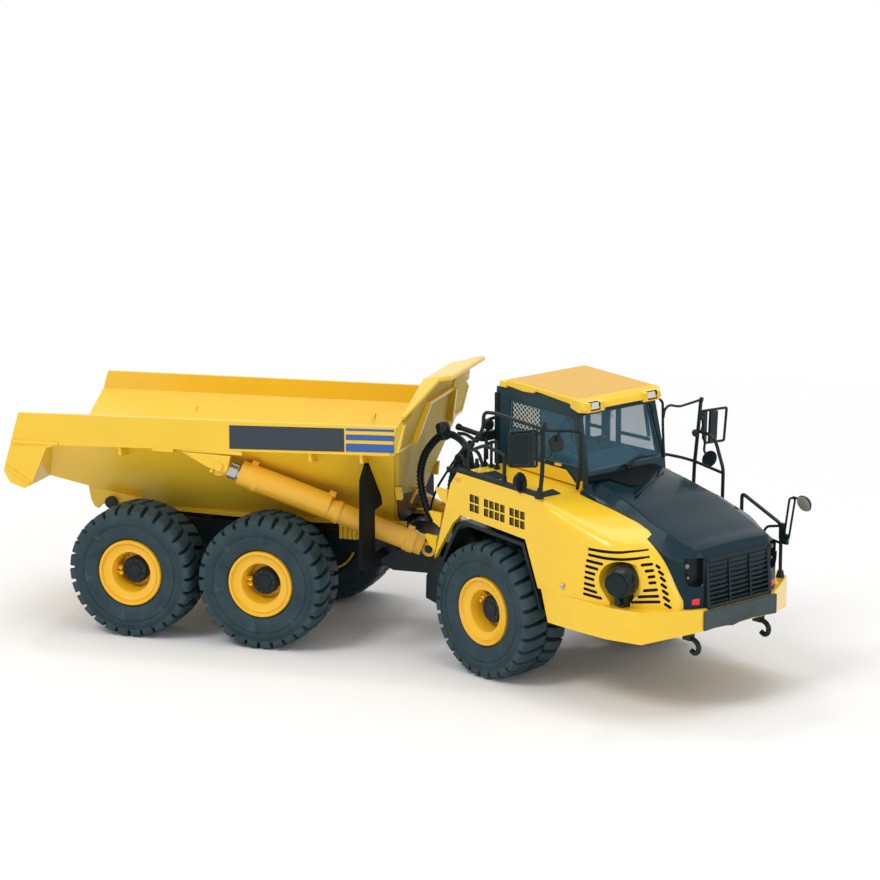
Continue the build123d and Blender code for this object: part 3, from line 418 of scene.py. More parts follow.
# ---------------------------------------------------------------- drawing
class Shape:
    """Faces drawn in millimetres on the straight truck."""

    def __init__(self):
        self.bm = bmesh.new()

    def loft(self, rings, closed=True, looped=False):
        """Joins rings of equal length. closed caps the ends; looped joins the last ring to the first."""
        made = [[self.bm.verts.new(p) for p in ring] for ring in rings]
        count = len(made[0])
        for a, b in zip(made, made[1:] + made[:1] if looped else made[1:]):
            for i in range(count if closed else count - 1):
                j = (i + 1) % count
                self.bm.faces.new((a[i], a[j], b[j], b[i]))
        if closed and not looped:
            self.bm.faces.new(made[0])
            self.bm.faces.new(made[-1])
        return self

    def slab(self, outline, low, high):
        """A flat outline of points pushed by two vectors."""
        return self.loft([[Vector(p) + Vector(push) for p in outline] for push in (low, high)])

    def prism(self, outline, plane, low, high):
        """A flat outline pushed between two heights. plane names the two drawn axes, such as 'xz'."""
        return self.loft([[on_plane(p, plane, h) for p in outline] for h in (low, high)])

    def box(self, low, high):
        (x0, y0, z0), (x1, y1, z1) = low, high
        return self.prism([(x0, y0), (x1, y0), (x1, y1), (x0, y1)], "xy", z0, z1)

    def turned(self, profile, steps=48, axis="y", hollow=False):
        """Turns a profile of (radius, along) round an axis. hollow joins the profile's two ends."""
        rings = []
        for a in angles(steps):
            ring = [(r * math.cos(a), r * math.sin(a), h) for r, h in profile]
            rings.append(ring if axis == "z" else [(u, h, v) for u, v, h in ring])
        self.loft(rings, closed=hollow, looped=True)
        bmesh.ops.remove_doubles(self.bm, verts=self.bm.verts, dist=MERGE)
        return self

    def rod(self, start, end, radius, sides=16, end_radius=None):
        """A straight round bar, or a cone where its two radii differ."""
        start, end = Vector(start), Vector(end)
        across, up = (end - start).to_track_quat("Z", "Y").to_matrix().col[:2]
        return self.loft([circle(start, across, up, radius, sides),
                          circle(end, across, up, radius if end_radius is None else end_radius, sides)])

    def pipe(self, points, radius, sides=10, bend=0):
        """A round bar along points, with its corners rounded."""
        line = [Vector(p) for p in (rounded(points, bend) if bend else points)]
        rings, up = [], None
        for i, p in enumerate(line):
            ahead = (line[min(i + 1, len(line) - 1)] - line[max(i - 1, 0)]).normalized()
            up = up or ahead.orthogonal().normalized()
            up = (up - ahead * up.dot(ahead)).normalized()
            rings.append(circle(p, up, ahead.cross(up), radius, sides))
        return self.loft(rings)

    def dish(self, centre, facing, radius, depth):
        """A round mirror or lamp: domed back, flat face."""
        profile = [(0, 0), (radius * 0.92, 0), (radius, -0.25 * depth), (radius * 0.8, -0.8 * depth),
                   (radius * 0.35, -depth), (0, -depth)]
        return self.add(Shape().turned(profile, 32, "z").moved(aimed(centre, facing)).copied("dish"))

    def path(self, points):
        """Bare edges through the points."""
        made = [self.bm.verts.new(p) for p in points]
        for a, b in zip(made, made[1:]):
            self.bm.edges.new((a, b))
        return self

    def ring(self, one, count, phase, finish):
        """Adds a shape repeated round the Y axis."""
        return self.add(grown(one, ring_tree(), finish, Count=count, Phase=phase))

    def row(self, one, count, step, finish):
        """Adds a shape repeated along a straight step."""
        return self.add(grown(one, row_tree(), finish, Count=count, Step=step))

    def ribbed(self, route, radius, ribs, rib_radius, rib_depth, finish):
        """Adds a hose: a round core with short ribs along it."""
        self.pipe(route, radius, 12)
        spine = Shape().path(route)
        return self.add(grown(spine, rib_tree(), finish, Count=ribs, Radius=rib_radius, Depth=rib_depth))

    def add(self, mesh):
        """Takes in a plain mesh drawn in millimetres."""
        self.bm.from_mesh(mesh)
        bpy.data.meshes.remove(mesh)
        return self

    def moved(self, matrix):
        self.bm.transform(matrix)
        return self

    def flipped(self):
        """Moves the faces to the other side of the truck."""
        return self.moved(Matrix.Scale(-1, 4, Vector((0, 1, 0))))

    def mirrored(self):
        """Adds the same faces on the other side of the truck."""
        half = self.bm.copy()
        bmesh.ops.scale(half, vec=(1, -1, 1), verts=half.verts)
        bmesh.ops.reverse_faces(half, faces=half.faces)
        spare = bpy.data.meshes.new("half")
        half.to_mesh(spare)
        half.free()
        return self.add(spare)

    def copied(self, name):
        """The faces as a plain mesh; the drawing ends here."""
        made = bpy.data.meshes.new(name)
        self.bm.to_mesh(made)
        self.bm.free()
        return made

    def mesh(self, name, matrix=None):
        """The faces as a plain mesh, merged, turned outwards and put in place."""
        bmesh.ops.remove_doubles(self.bm, verts=self.bm.verts, dist=MERGE)
        bmesh.ops.recalc_face_normals(self.bm, faces=self.bm.faces)
        if matrix:
            self.bm.transform(matrix)
        return self.copied(name)


def angles(steps):
    return [math.tau * i / steps for i in range(steps)]


def circle(centre, across, up, radius, sides):
    """Points round a centre, in the plane of two directions."""
    return [centre + (across * math.cos(a) + up * math.sin(a)) * radius for a in angles(sides)]


def on_plane(point, plane, height):
    values = dict(zip(plane, point))
    return tuple(values.get(axis, height) for axis in "xyz")


def aimed(centre, facing, up="Y"):
    """The matrix that puts a shape drawn round Z at a centre, facing a direction."""
    return Matrix.Translation(centre) @ Vector(facing).to_track_quat("Z", up).to_matrix().to_4x4()


def rounded(points, radius, steps=5):
    """The same path with each inner corner turned into a short curve."""
    line = [Vector(p) for p in points]
    path = [line[0]]
    for before, corner, after in zip(line, line[1:], line[2:]):
        a, b = before - corner, after - corner
        cut = min(radius, a.length * 0.48, b.length * 0.48)
        start, end = corner + a.normalized() * cut, corner + b.normalized() * cut
        for i in range(steps + 1):
            t = i / steps
            path.append(start * (1 - t) ** 2 + corner * 2 * t * (1 - t) + end * t ** 2)
    return path + [line[-1]]


def even_rows(rows, count):
    """Rows of numbers at evenly spaced first columns, on a smooth curve through the given rows."""
    made, last = [], len(rows) - 1
    for i in range(count):
        x = rows[0][0] + (rows[-1][0] - rows[0][0]) * i / (count - 1)
        k = max(j for j in range(last) if rows[j][0] <= x + 1e-9)
        a, b = rows[k], rows[k + 1]
        span = b[0] - a[0]
        t = (x - a[0]) / span

        def slope(j, column):
            low, high = rows[max(j - 1, 0)], rows[min(j + 1, last)]
            return (high[column] - low[column]) / (high[0] - low[0]) * span

        row = [x]
        for c in range(1, len(a)):
            m0, m1 = slope(k, c), slope(k + 1, c)
            row.append(a[c] * (2 * t ** 3 - 3 * t ** 2 + 1) + m0 * (t ** 3 - 2 * t ** 2 + t)
                       + b[c] * (3 * t ** 2 - 2 * t ** 3) + m1 * (t ** 3 - t ** 2))
        made.append(row)
    return made


def even_points(points, count):
    """The same path as a given number of evenly spaced points."""
    line = [Vector(p) for p in points]
    reach = [0.0]
    for a, b in zip(line, line[1:]):
        reach.append(reach[-1] + (b - a).length)
    made, k = [], 0
    for i in range(count):
        d = reach[-1] * i / (count - 1)
        while k < len(line) - 2 and reach[k + 1] < d:
            k += 1
        share = (d - reach[k]) / max(reach[k + 1] - reach[k], 1e-9)
        made.append(line[k].lerp(line[k + 1], share))
    return made


def spare_object(mesh, finish):
    made = bpy.data.objects.new("spare", mesh)
    mesh.materials.clear()
    mesh.materials.append(FINISH[finish])
    bpy.context.scene.collection.objects.link(made)
    return made


def plain_mesh(thing):
    """An object's shape with its modifiers worked out."""
    return bpy.data.meshes.new_from_object(thing.evaluated_get(bpy.context.evaluated_depsgraph_get()))


def carved(shape, cuts, skin, bend=None):
    """Cuts pockets out of a front unit's shape; each (cutter, finish) gives its pocket that finish."""
    base = spare_object(shape.mesh("carved"), skin)
    tools = [spare_object(cutter.mesh("tool"), finish) for cutter, finish in cuts]
    for tool in tools:
        cut = base.modifiers.new("cut", "BOOLEAN")
        cut.object, cut.operation, cut.solver, cut.material_mode = tool, "DIFFERENCE", "EXACT", "TRANSFER"
    mesh = plain_mesh(base)
    for spare in (base, *tools):
        bpy.data.objects.remove(spare)
    if bend:
        bend(mesh.vertices)
    mesh.transform(FRONT)
    return mesh


def lozenge(shape, start, end, height, normal, depth, proud=1.0):
    """A round-ended bar standing through a surface, used to cut a slot."""
    start, end, normal = Vector(start), Vector(end), Vector(normal).normalized()
    along = (end - start).normalized()
    across = normal.cross(along).normalized()
    outline = []
    for centre, first in ((end, -90), (start, 90)):
        for i in range(7):
            a = math.radians(first + 30 * i)
            outline.append(centre + (along * math.cos(a) + across * math.sin(a)) * height / 2)
    return shape.slab(outline, normal * proud, -normal * depth)


def piece(name, shape, slot, finish=None, body="front_unit", replaces=None, bevel=0.0, crisp=32, segments=2):
    """Turns a drawn shape, or a finished mesh, into a piece of the truck that rides on a body."""
    place = FRONT if body.startswith(("front_unit", "wheel_front")) else REAR
    mesh = shape if isinstance(shape, bpy.types.Mesh) else shape.mesh(name, place)
    mesh.name = name
    made = bpy.data.objects.new(name, mesh)
    bpy.context.scene.collection.objects.link(made)
    if not mesh.materials:
        mesh.materials.append(FINISH[finish or slot])
    for polygon in mesh.polygons:
        polygon.use_smooth = True
    mesh.set_sharp_from_angle(angle=math.radians(crisp))
    if bevel:
        edge = made.modifiers.new("edge", "BEVEL")
        edge.width, edge.segments = bevel * MM, segments
        edge.limit_method, edge.angle_limit = "ANGLE", math.radians(crisp)
        edge.harden_normals = True
    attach(made, body)
    if replaces:
        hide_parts(replaces)
    return made


def soften(node, width, finish=None, slot=None):
    """A CAD node's own faces with rounded edges."""
    bm = bmesh.new()
    bm.from_mesh(NODES[node].data)
    bmesh.ops.remove_doubles(bm, verts=bm.verts, dist=2e-6)
    bmesh.ops.dissolve_limit(bm, angle_limit=math.radians(1.0), verts=bm.verts, edges=bm.edges)
    mesh = bpy.data.meshes.new(node)
    bm.to_mesh(mesh)
    bm.free()
    mesh.materials.clear()
    piece(f"{node}_finish", mesh, slot or SLOTS[node], finish, HOLDERS[node], node, width, crisp=24)


# ---------------------------------------------------------------- wheels
# Tyre section: radius, distance outwards from the middle of the tread.
TYRE_PROFILE = ((9.4, 5.2), (9.6, 6.2), (10.2, 6.85), (12.4, 7.25), (13.7, 7.42), (13.82, 7.28),
                (13.98, 7.28), (14.1, 7.46), (14.75, 7.5), (14.95, 7.62), (15.15, 7.5), (16.5, 7.44),
                (16.85, 7.15), (17.0, 6.3), (17.05, 5.0), (17.1, 0.0))
# Rim section, all round, and the brake drum behind it.
RIM_PROFILE = ((3.5, 0.35), (4.85, 0.25), (5.05, 0.6), (5.45, 3.0), (5.7, 5.4), (5.9, 5.8), (6.3, 5.85),
               (7.2, 6.0), (7.85, 6.4), (8.0, 6.4), (8.12, 6.22), (8.3, 6.22), (8.45, 6.4), (8.65, 6.95),
               (8.95, 7.08), (9.3, 6.95), (9.48, 6.5), (9.48, -6.4), (9.3, -7.0), (8.7, -7.0), (8.2, -6.3),
               (6.4, -5.8), (5.9, -4.0), (5.5, -1.6), (3.5, -1.2))
DRUM_PROFILE = ((4.7, -5.4), (9.0, -5.4), (9.75, -6.4), (9.75, -6.8), (8.0, -7.1), (4.7, -7.1))
# Tread lug: y, half width, how far its top lies below the tyre's largest radius, foot, shift along the tread.
LUG_STATIONS = ((0.35, 1.35, 0.02, 16.7, -0.95), (3.2, 1.45, 0.0, 16.7, -0.2), (5.9, 1.5, 0.15, 16.6, 0.3),
                (6.9, 1.5, 0.4, 16.4, 0.36), (7.5, 1.46, 0.8, 16.3, 0.4))
RIM_DOTS, RIM_DOT_RADIUS, HUB_BOLT_RADIUS = 24, 4.4, 2.85
HUB_FACE = {"front": 3.6, "middle": 3.3, "rear": 3.3}                                # y of the hub's face
VALVE_PLACE = {"front": (-3.9, 3.0), "middle": (-4.85, -0.3), "rear": (-4.85, -0.3)}   # x and z from the axle


def lug_shape(height):
    """One tread lug at the top of a wheel, from beside the centre line out over the shoulder."""
    crown = TYRE_PROFILE[-1][0] + height
    shape = Shape().loft([[(shift - half, y, crown - drop), (shift + half, y, crown - drop),
                           (shift + half, y, foot), (shift - half, y, foot)]
                          for y, half, drop, foot, shift in LUG_STATIONS])
    bmesh.ops.bevel(shape.bm, geom=shape.bm.edges[:], offset=0.16, segments=2, profile=0.6, affect="EDGES")
    return shape


def valve_clips(shape, x, z):
    """Two small clips that hold the valve against the well of the rim."""
    away = Vector((x, 0, z)).normalized()
    for offset in (-0.75, 0.75):
        start = Vector((x, 3.0, z)) + Vector((-away.z, 0, away.x)) * offset
        shape.rod(start + away * 1.3, start - away * 1.2, 0.6, 4)
        shape.rod(start - away * 0.9 - Vector((0, 1.4, 0)), start - away * 0.9 + Vector((0, 1.1, 0)), 0.52, 4)


def make_wheel(axle, side, sizes):
    place, body = f"{axle}_{side}", f"wheel_{axle}_{side}"
    sign, height, face = SIDES[side], sizes.lug_height / MM, HUB_FACE[axle]
    flip = Matrix.Scale(sign, 4, Vector((0, 1, 0)))
    spot = Matrix.Translation((AXLES[axle], sign * WHEEL_Y, AXLE_Z)) @ flip
    tyre = Shape().turned([*TYRE_PROFILE, *((r, -w) for r, w in reversed(TYRE_PROFILE[:-1]))], 104,
                          hollow=True)
    tyre.ring(lug_shape(height), sizes.lugs, math.pi / sizes.lugs, "tyre")
    tyre.ring(lug_shape(height).flipped(), sizes.lugs, 0.0, "tyre")
    piece(f"tyre_{place}_tread", tyre.moved(spot), "tyre", body=body, replaces=f"tyre_{place}", crisp=38)
    rim = Shape().turned(RIM_PROFILE, 80, hollow=True)
    dot = Shape().rod((0, 0.1, RIM_DOT_RADIUS), (0, 0.55, RIM_DOT_RADIUS), 0.2, 8)
    rim.ring(dot, RIM_DOTS, 0.0, "rim_yellow")
    valve_clips(rim, *VALVE_PLACE[axle])
    piece(f"rim_{place}_dish", rim.moved(spot), "rim_yellow", body=body, replaces=f"rim_{place}", crisp=30)
    drum = Shape().turned(DRUM_PROFILE, hollow=True)
    piece(f"drum_{place}", drum.moved(spot), "chassis_black", body=body, crisp=30)
    hub = Shape().turned([(0, face), (1.9, face), (2.0, face - 0.18), (3.45, face - 0.18), (3.74, face - 0.5),
                          (3.84, -1.3), (2.4, -1.5), (0, -1.5)])
    piece(f"hub_{place}", hub.moved(spot), "black_plastic", body=body, crisp=30)
    bolt = Shape().rod((0, face - 0.3, HUB_BOLT_RADIUS), (0, face + 0.12, HUB_BOLT_RADIUS), 0.24, 6)
    bolts = Shape().ring(bolt, sizes.rim_bolts, 0.3, "plate_grey")
    piece(f"hub_bolts_{place}", bolts.moved(spot), "black_plastic", "plate_grey", body=body)


# ---------------------------------------------------------------- front bodywork
BASE_Z = 28.7
PANEL_Y = 31.0
ARCH = ((64.5, 28.7), (71.9, 40.0), (75.3, 43.0), (100.9, 41.1), (105.9, 28.7))
# Left pod ahead of the wheel: x, inner edge y and z, shoulder y and z, base y.
POD_ROWS = (
    (105.9, 17.6, 52.9, 31.0, 52.8, 31.0),
    (111.5, 17.6, 51.9, 30.9, 51.1, 31.0),
    (120.0, 17.6, 50.7, 30.2, 48.2, 30.6),
    (129.0, 17.6, 48.9, 28.6, 45.1, 29.6),
    (132.3, 17.6, 47.8, 26.9, 43.9, 28.2),
    (134.5, 17.6, 46.8, 25.7, 42.7, 26.8),
    (139.9, 17.6, 43.4, 22.2, 39.0, 23.2),
    (142.6, 17.6, 39.6, 20.8, 36.6, 21.6),
    (146.6, 17.4, 30.9, 18.6, 30.4, 19.0),
)
# Slots in the left pod: ends as (x, y, z).
POD_SLOTS = (
    ((123.73, 28.97, 42.72), (128.27, 28.27, 42.64), (131.94, 26.43, 42.58), (134.59, 23.6, 42.79),
     (136.69, 20.51, 43.1)),
    ((123.81, 29.03, 41.22), (128.68, 28.35, 41.03), (132.42, 26.28, 40.95), (135.46, 24.14, 41.27),
     (137.61, 21.11, 41.51)),
    ((123.64, 29.2, 39.59), (128.43, 29.2, 39.44)), ((123.43, 29.2, 38.08), (127.02, 29.2, 37.87)),
    ((123.33, 29.2, 36.5), (126.15, 29.2, 36.38)), ((123.16, 29.2, 35.03), (125.89, 29.2, 34.87)),
    ((123.08, 29.2, 33.37), (126.17, 29.2, 33.24)), ((122.99, 29.2, 31.92), (126.85, 29.2, 31.63)),
    ((122.85, 29.2, 30.51), (128.49, 29.2, 30.29)),
    ((137.23, 23.32, 39.82), (138.71, 21.39, 39.9)), ((138.25, 22.79, 38.37), (139.54, 21.77, 38.58)),
    ((139.02, 22.44, 36.9), (140.09, 21.69, 37.11)), ((139.32, 22.4, 35.39), (140.47, 21.61, 35.56)),
    ((138.31, 23.3, 33.33), (141.01, 21.45, 33.77)), ((137.22, 24.2, 31.62), (141.41, 21.39, 32.14)),
    ((135.79, 25.29, 30.05), (141.83, 21.3, 30.69)),
    ((139.84, 20.6, 39.57), (140.44, 20.3, 39.11)), ((140.77, 20.6, 38.21), (141.57, 20.2, 37.59)),
    ((141.49, 20.6, 36.78), (142.37, 20.2, 36.07)), ((141.94, 20.6, 35.16), (142.9, 20.2, 34.47)),
    ((142.39, 20.6, 33.55), (143.44, 20.1, 32.77)), ((142.84, 20.6, 31.93), (143.98, 20.0, 31.08)),
    ((143.31, 20.6, 30.14), (144.47, 20.0, 29.38)),
)
SLOT_HEIGHT, SLOT_DEPTH = 0.80, 1.3
COVER_PLACE, COVER_FACING = (135.2, 30.6, 35.3), (0.40, 0.91, -0.04)
VENT_GROUPS = ((79.8, 2, 1.95), (85.5, 4, 2.15), (95.6, 3, 2.1))   # first x, columns, step
VENT_ROWS = (48.5, 45.9)
VENT_FALL = 0.055          # how much the rows of vents drop towards the front
VENT_RIBS = 5


def pod_section(x, y_in, z_in, y_out, z_out, y_base):
    """Across the pod: up inside, over a crowned top, round the shoulder and down to the base."""
    soft = min(4.2, 0.5 + (x - 105.9) * 0.3, (y_out - y_in) * 0.45)
    middle = ((y_in + y_out) / 2, z_in * 0.55 + z_out * 0.45 + 0.35)
    path = [(x, y_in, z_in), (x, *middle), (x, y_out, z_out), (x, y_base, (z_out + BASE_Z) / 2),
            (x, y_base, BASE_Z)]
    curve = even_points([path[0]] + rounded(path, soft)[1:], 34)
    return [(x, y_in - 1.5, BASE_Z), (x, y_in - 1.5, z_in - 0.1), *curve]


def pod_cutter(pod):
    """Bars along the pod's slots, which cut them into its surface."""
    bmesh.ops.recalc_face_normals(pod.bm, faces=pod.bm.faces)
    surface = BVHTree.FromBMesh(pod.bm)
    cutter, half = Shape(), Vector((0, 0, SLOT_HEIGHT / 2))
    for path in POD_SLOTS:
        places = [surface.find_nearest(Vector(point))[:2] for point in path]
        if len(path) == 2:
            (a, facing_a), (b, facing_b) = places
            lozenge(cutter, a, b, SLOT_HEIGHT, facing_a + facing_b, SLOT_DEPTH)
            continue
        outer, inner = (rounded([p - facing * depth for p, facing in places], 2.5)
                        for depth in (-1.0, SLOT_DEPTH))
        cutter.loft([[p + half, q + half, q - half, p - half] for p, q in zip(outer, inner)])
    return cutter


def cover_recess():
    """Teardrop pocket round the cover, with its neck running down to the bumper."""
    x, z = COVER_PLACE[0] - 1.9, COVER_PLACE[2] + 0.2
    outline = [(x + 5.5 * math.cos(math.radians(a)),
                z + 5.1 * math.sin(math.radians(a))) for a in range(-52, 233, 12)]
    outline += [(x - 2.3, z - 6.0), (x - 2.3, BASE_Z - 1), (x + 2.3, BASE_Z - 1), (x + 2.4, z - 5.6)]
    return Shape().prism(outline, "xz", 24.6, 36.0)


def make_side_cover():
    """Round cover on the right pod, domed towards its face, with a latch below it."""
    profile = [(0, -8.0), (4.45, -8.0), (4.5, -5.0), (4.4, -3.4), (4.1, -1.9), (3.7, -0.8), (3.42, -0.25),
               (3.2, -0.05), (3.05, -0.2), (2.9, -0.2), (2.8, -0.02), (1.6, 0.04), (0, 0.06)]
    drum = Shape().turned(profile, 56, "z").moved(aimed(COVER_PLACE, COVER_FACING, "X"))
    drum.loft([[(132.0, 24.0, 32.4), (135.6, 24.0, 32.4), (135.6, 27.9, 32.2), (132.0, 27.9, 32.2)],
               [(132.1, 24.0, 28.9), (135.3, 24.0, 28.9), (135.3, 28.2, 28.9), (132.1, 28.2, 28.9)]])
    drum.rod((133.9, 27.6, 30.0), (134.0, 29.0, 30.2), 0.85, 14)
    drum.pipe([(132.8, 28.2, 31.6), (133.9, 28.9, 31.9), (135.0, 28.4, 31.6)], 0.4, 8, 0.5)
    piece("side_cover_drum", drum.flipped(), "black_plastic", "gloss_black", replaces="side_cover", crisp=30)


def make_right_fender():
    pod = Shape().loft([pod_section(*row) for row in even_rows(POD_ROWS, 44)])
    cutter = pod_cutter(pod)
    panel = Shape().prism([(64.5, 28.7), (71.1, 51.0), (73.9, 54.8), (106.4, 53.4), (106.4, 28.7),
                           *reversed(ARCH[1:])],
                          "xz", PANEL_Y - 1.2, PANEL_Y)
    holes, mesh_back = Shape(), Shape()
    for x, columns, step in VENT_GROUPS:
        for z in VENT_ROWS:
            top = z - (x - VENT_GROUPS[0][0]) * VENT_FALL
            one = Shape().prism([(x - 0.86, top - 1.05), (x + 0.86, top - 1.1), (x + 0.86, top + 1.05),
                                 (x - 0.86, top + 1.1)],
                                "xz", PANEL_Y - 0.7, PANEL_Y + 1)
            holes.row(one, columns, (step, 0.0, -0.11), "vent")
            rib = Shape().box((x - 0.8, PANEL_Y - 0.75, top - 0.95), (x + 0.8, PANEL_Y - 0.45, top - 0.75))
            column = Shape().row(rib, VENT_RIBS, (0.0, 0.0, 0.42), "yellow_paint")
            mesh_back.row(column, columns, (step, 0.0, -0.11), "yellow_paint")
    deck = Shape().prism([(73.9, 54.8), (106.2, 53.4), (106.2, 52.2), (73.2, 53.6)], "xz", 14.4,
                         PANEL_Y - 1.1)
    flange = Shape().prism([(100.9, 41.1), (101.4, 53.3), (106.3, 53.3), (106.3, 28.7), (105.8, 28.7)],
                           "xz", 19.3, PANEL_Y - 1.1)
    recess = cover_recess()
    for shape in (pod, cutter, recess, panel, holes, mesh_back, deck, flange):
        shape.flipped()
    cuts = [(cutter, "vent"), (recess, "yellow_paint")]
    piece("fender_right_pod", carved(pod, cuts, "yellow_paint"), "yellow_paint", replaces="fender_right",
          crisp=38)
    piece("fender_right_panel", carved(panel, [(holes, "vent")], "yellow_paint"), "yellow_paint",
          bevel=0.35, crisp=28, segments=3)
    # The ribs behind the vents are brown instead of yellow: painted shade.
    piece("fender_right_vent_mesh", mesh_back, "yellow_paint", "vent_rib")
    piece("fender_right_deck", deck, "yellow_paint", bevel=0.2)
    piece("fender_right_flange", flange, "yellow_paint", bevel=0.2)


# Treads of the left stairway: x from, x to, z.
TREADS = ((109.2, 115.4, 41.7), (116.8, 124.0, 37.7), (125.4, 132.8, 33.7))
GRIP_STEP = 0.95


def make_left_stairs():
    soften("fender_left", 0.3)
    grips = Shape()
    for x0, x1, z in TREADS:
        bar = Shape().box((x0, 19.8, z - 0.1), (x0 + 0.5, 27.4, z + 0.15))
        grips.row(bar, int((x1 - x0) / GRIP_STEP), (GRIP_STEP, 0.0, 0.0), "tread_plate")
    bar = Shape().box((76.0, 20.4, 45.7), (76.5, 29.0, 45.95))
    grips.row(bar, 28, (1.0, 0.0, 0.0), "tread_plate")
    piece("stair_grips", grips, "plate_grey", "tread_plate")


# Bonnet: x, half width and height of the upper crease, half width and height of the edge.
BONNET_ROWS = (
    (107.8, 12.6, 55.9, 17.4, 52.9), (117.0, 13.2, 54.0, 17.5, 51.4), (126.0, 14.0, 51.5, 17.5, 49.7),
    (131.3, 14.7, 49.5, 17.5, 48.1), (133.2, 14.6, 48.8, 19.3, 46.5), (136.0, 14.4, 47.9, 19.4, 45.4),
    (140.6, 14.0, 46.4, 19.2, 42.7), (144.6, 13.6, 45.0, 18.4, 41.3), (146.6, 13.4, 44.55, 17.6, 41.2),
    (147.8, 13.0, 44.05, 16.4, 41.3), (148.7, 12.5, 43.3, 14.6, 41.4), (149.2, 12.1, 42.2, 12.6, 41.5),
)


def make_bonnet():
    rings = []
    for x, y_top, z_top, y_edge, z_edge in even_rows(BONNET_ROWS, 34):
        half = [(x, 0, z_top + 0.5), (x, y_top * 0.5, z_top + 0.42), (x, y_top * 0.94, z_top + 0.06),
                (x, y_top, z_top - 0.1), (x, y_top + 0.35, z_top - 0.5), (x, y_edge, z_edge),
                (x, y_edge, (z_edge + BASE_Z) / 2), (x, y_edge - 0.2, BASE_Z + 0.1)]
        rings.append([(px, -y, z) for px, y, z in reversed(half)] + half[1:])
    lip = [place + LAMP_FACING * 0.12 for place in on_lamp_plane(POCKET_LIP)]
    piece("headlamp_rims", Shape().pipe(lip, 0.22, 8, 0.9).mirrored(), "black_plastic", "gloss_black")
    pocket = Shape().slab(on_lamp_plane(POCKET), LAMP_FACING * 3, LAMP_FACING * -2.4)
    skin = carved(Shape().loft(rings), [(pocket.mirrored(), "black_plastic")], "bonnet")
    piece("bonnet_skin", skin, "bonnet_charcoal", replaces="bonnet", bevel=0.3, crisp=22, segments=3)
    make_headlamps()
    for name, outline, thickness, finish in (("bonnet_cowl_band", COWL_BAND, 0.4, "gloss_black"),
                                             ("bonnet_cowl", COWL, 0.48, "flap")):
        plate = Shape().loft([[(x, y, 57.35 - 0.205 * (x - 107.0) + push) for x, y in outline]
                              for push in (-0.9, thickness - 0.9)])
        piece(name, plate, "black_plastic", finish, bevel=0.1)
    marker = Shape().slab(on_lamp_plane(MARKER, MARKER_MIDDLE), LAMP_FACING * -0.8, LAMP_FACING * 0.5)
    piece("marker_lamps_red", marker.mirrored(), "lamp", "red", bevel=0.4, segments=3)


# Dark cowl below the windscreen and the band round it, as (x, y).
COWL = ((107.9, 9.6), (107.9, -14.9), (109.6, -16.0), (110.7, -9.4), (116.5, -7.4), (117.4, -5.2),
        (111.5, 8.6))
COWL_BAND = ((107.9, 11.2), (107.9, 9.0), (111.0, 8.4), (116.9, -5.2), (118.0, -7.2), (122.2, -11.0),
             (112.8, 9.6))
# The left lamps' plane: the way it faces, the way along it, and outlines on it as (along, up).
LAMP_FACING, LAMP_ALONG = Vector((0.9, 0.42, 0.05)).normalized(), Vector((-0.42, 0.9, 0))
LAMP_MIDDLE, MARKER_MIDDLE = Vector((147.9, 15.0, 38.2)), Vector((148.1, 14.6, 30.6))
POCKET = ((-2.5, 4.0), (2.4, 4.0), (2.7, 3.4), (2.5, -1.8), (1.5, -3.2), (0.2, -3.7), (-2.0, -3.6),
          (-2.6, -2.8))
POCKET_LIP = ((2.75, 0.2), (2.6, -1.8), (1.6, -3.35), (0.2, -3.85), (-2.0, -3.75), (-2.75, -2.8))
MARKER = ((-1.25, -0.9), (1.25, -0.9), (1.25, 0.9), (-1.25, 0.9))


def on_lamp_plane(points, middle=LAMP_MIDDLE):
    """Places on the left lamps' plane, from (along, up)."""
    return [middle + LAMP_ALONG * along + Vector((0, 0, up)) for along, up in points]


def make_headlamps():
    """Reflectors and seats of the headlamps on both sides, and the seats of the red markers."""
    lamps, seats = Shape(), Shape()
    for place, radius in zip(on_lamp_plane(((1.7, 1.9), (1.4, -1.2))), (0.6, 0.36)):
        lamps.rod(place - LAMP_FACING * 2.5, place - LAMP_FACING * 0.5, radius, 20)
        seats.rod(place - LAMP_FACING * 2.6, place - LAMP_FACING * 0.8, radius + 0.25, 20)
    seats.rod(MARKER_MIDDLE - LAMP_FACING * 0.8, MARKER_MIDDLE + LAMP_FACING * 0.15, 1.5, 20)
    # The reflectors take the matt grey-beige finish: a painted reflection.
    piece("headlamp_reflectors", lamps.mirrored(), "steel", "mirror_face", replaces="headlamps", bevel=0.12)
    piece("headlamp_seats", seats.mirrored(), "black_plastic", bevel=0.1)


def make_bumper_plate():
    outline = [(-13.6, 28.2), (-13.6, 23.05), (-10.8, 23.35), (-5.3, 23.1), (-3.2, 22.7), (-0.3, 23.2),
               (4.4, 23.4), (13.6, 22.9), (13.6, 28.2)]
    plate = Shape().prism(outline, "yz", 150.3, 151.1)
    piece("bumper_plate_face", plate, "plate_grey", replaces="bumper_plate", bevel=0.12)


GRILLE_LEAN = -0.075                                       # x for each z
GRILLE_ROWS, GRILLE_STEP = 9, 1.28
LOUVRE_COLUMNS, BOLT_COLUMNS = (-7.7, 0.0, 7.7), (-10.6, -2.9, 4.9)
# Bars of the frame: y from, y to, z from, z to, back.
GRILLE_BARS = ((-12.05, -11.05, 28.5, 41.9, -1.3), (11.05, 12.05, 28.5, 41.9, -1.3),
               (-12.05, 12.05, 28.5, 29.5, -1.3), (-12.05, 12.05, 40.8, 42.0, -1.3),
               (-3.72, -3.08, 29.2, 41.2, -0.7), (4.08, 4.72, 29.2, 41.2, -0.7))


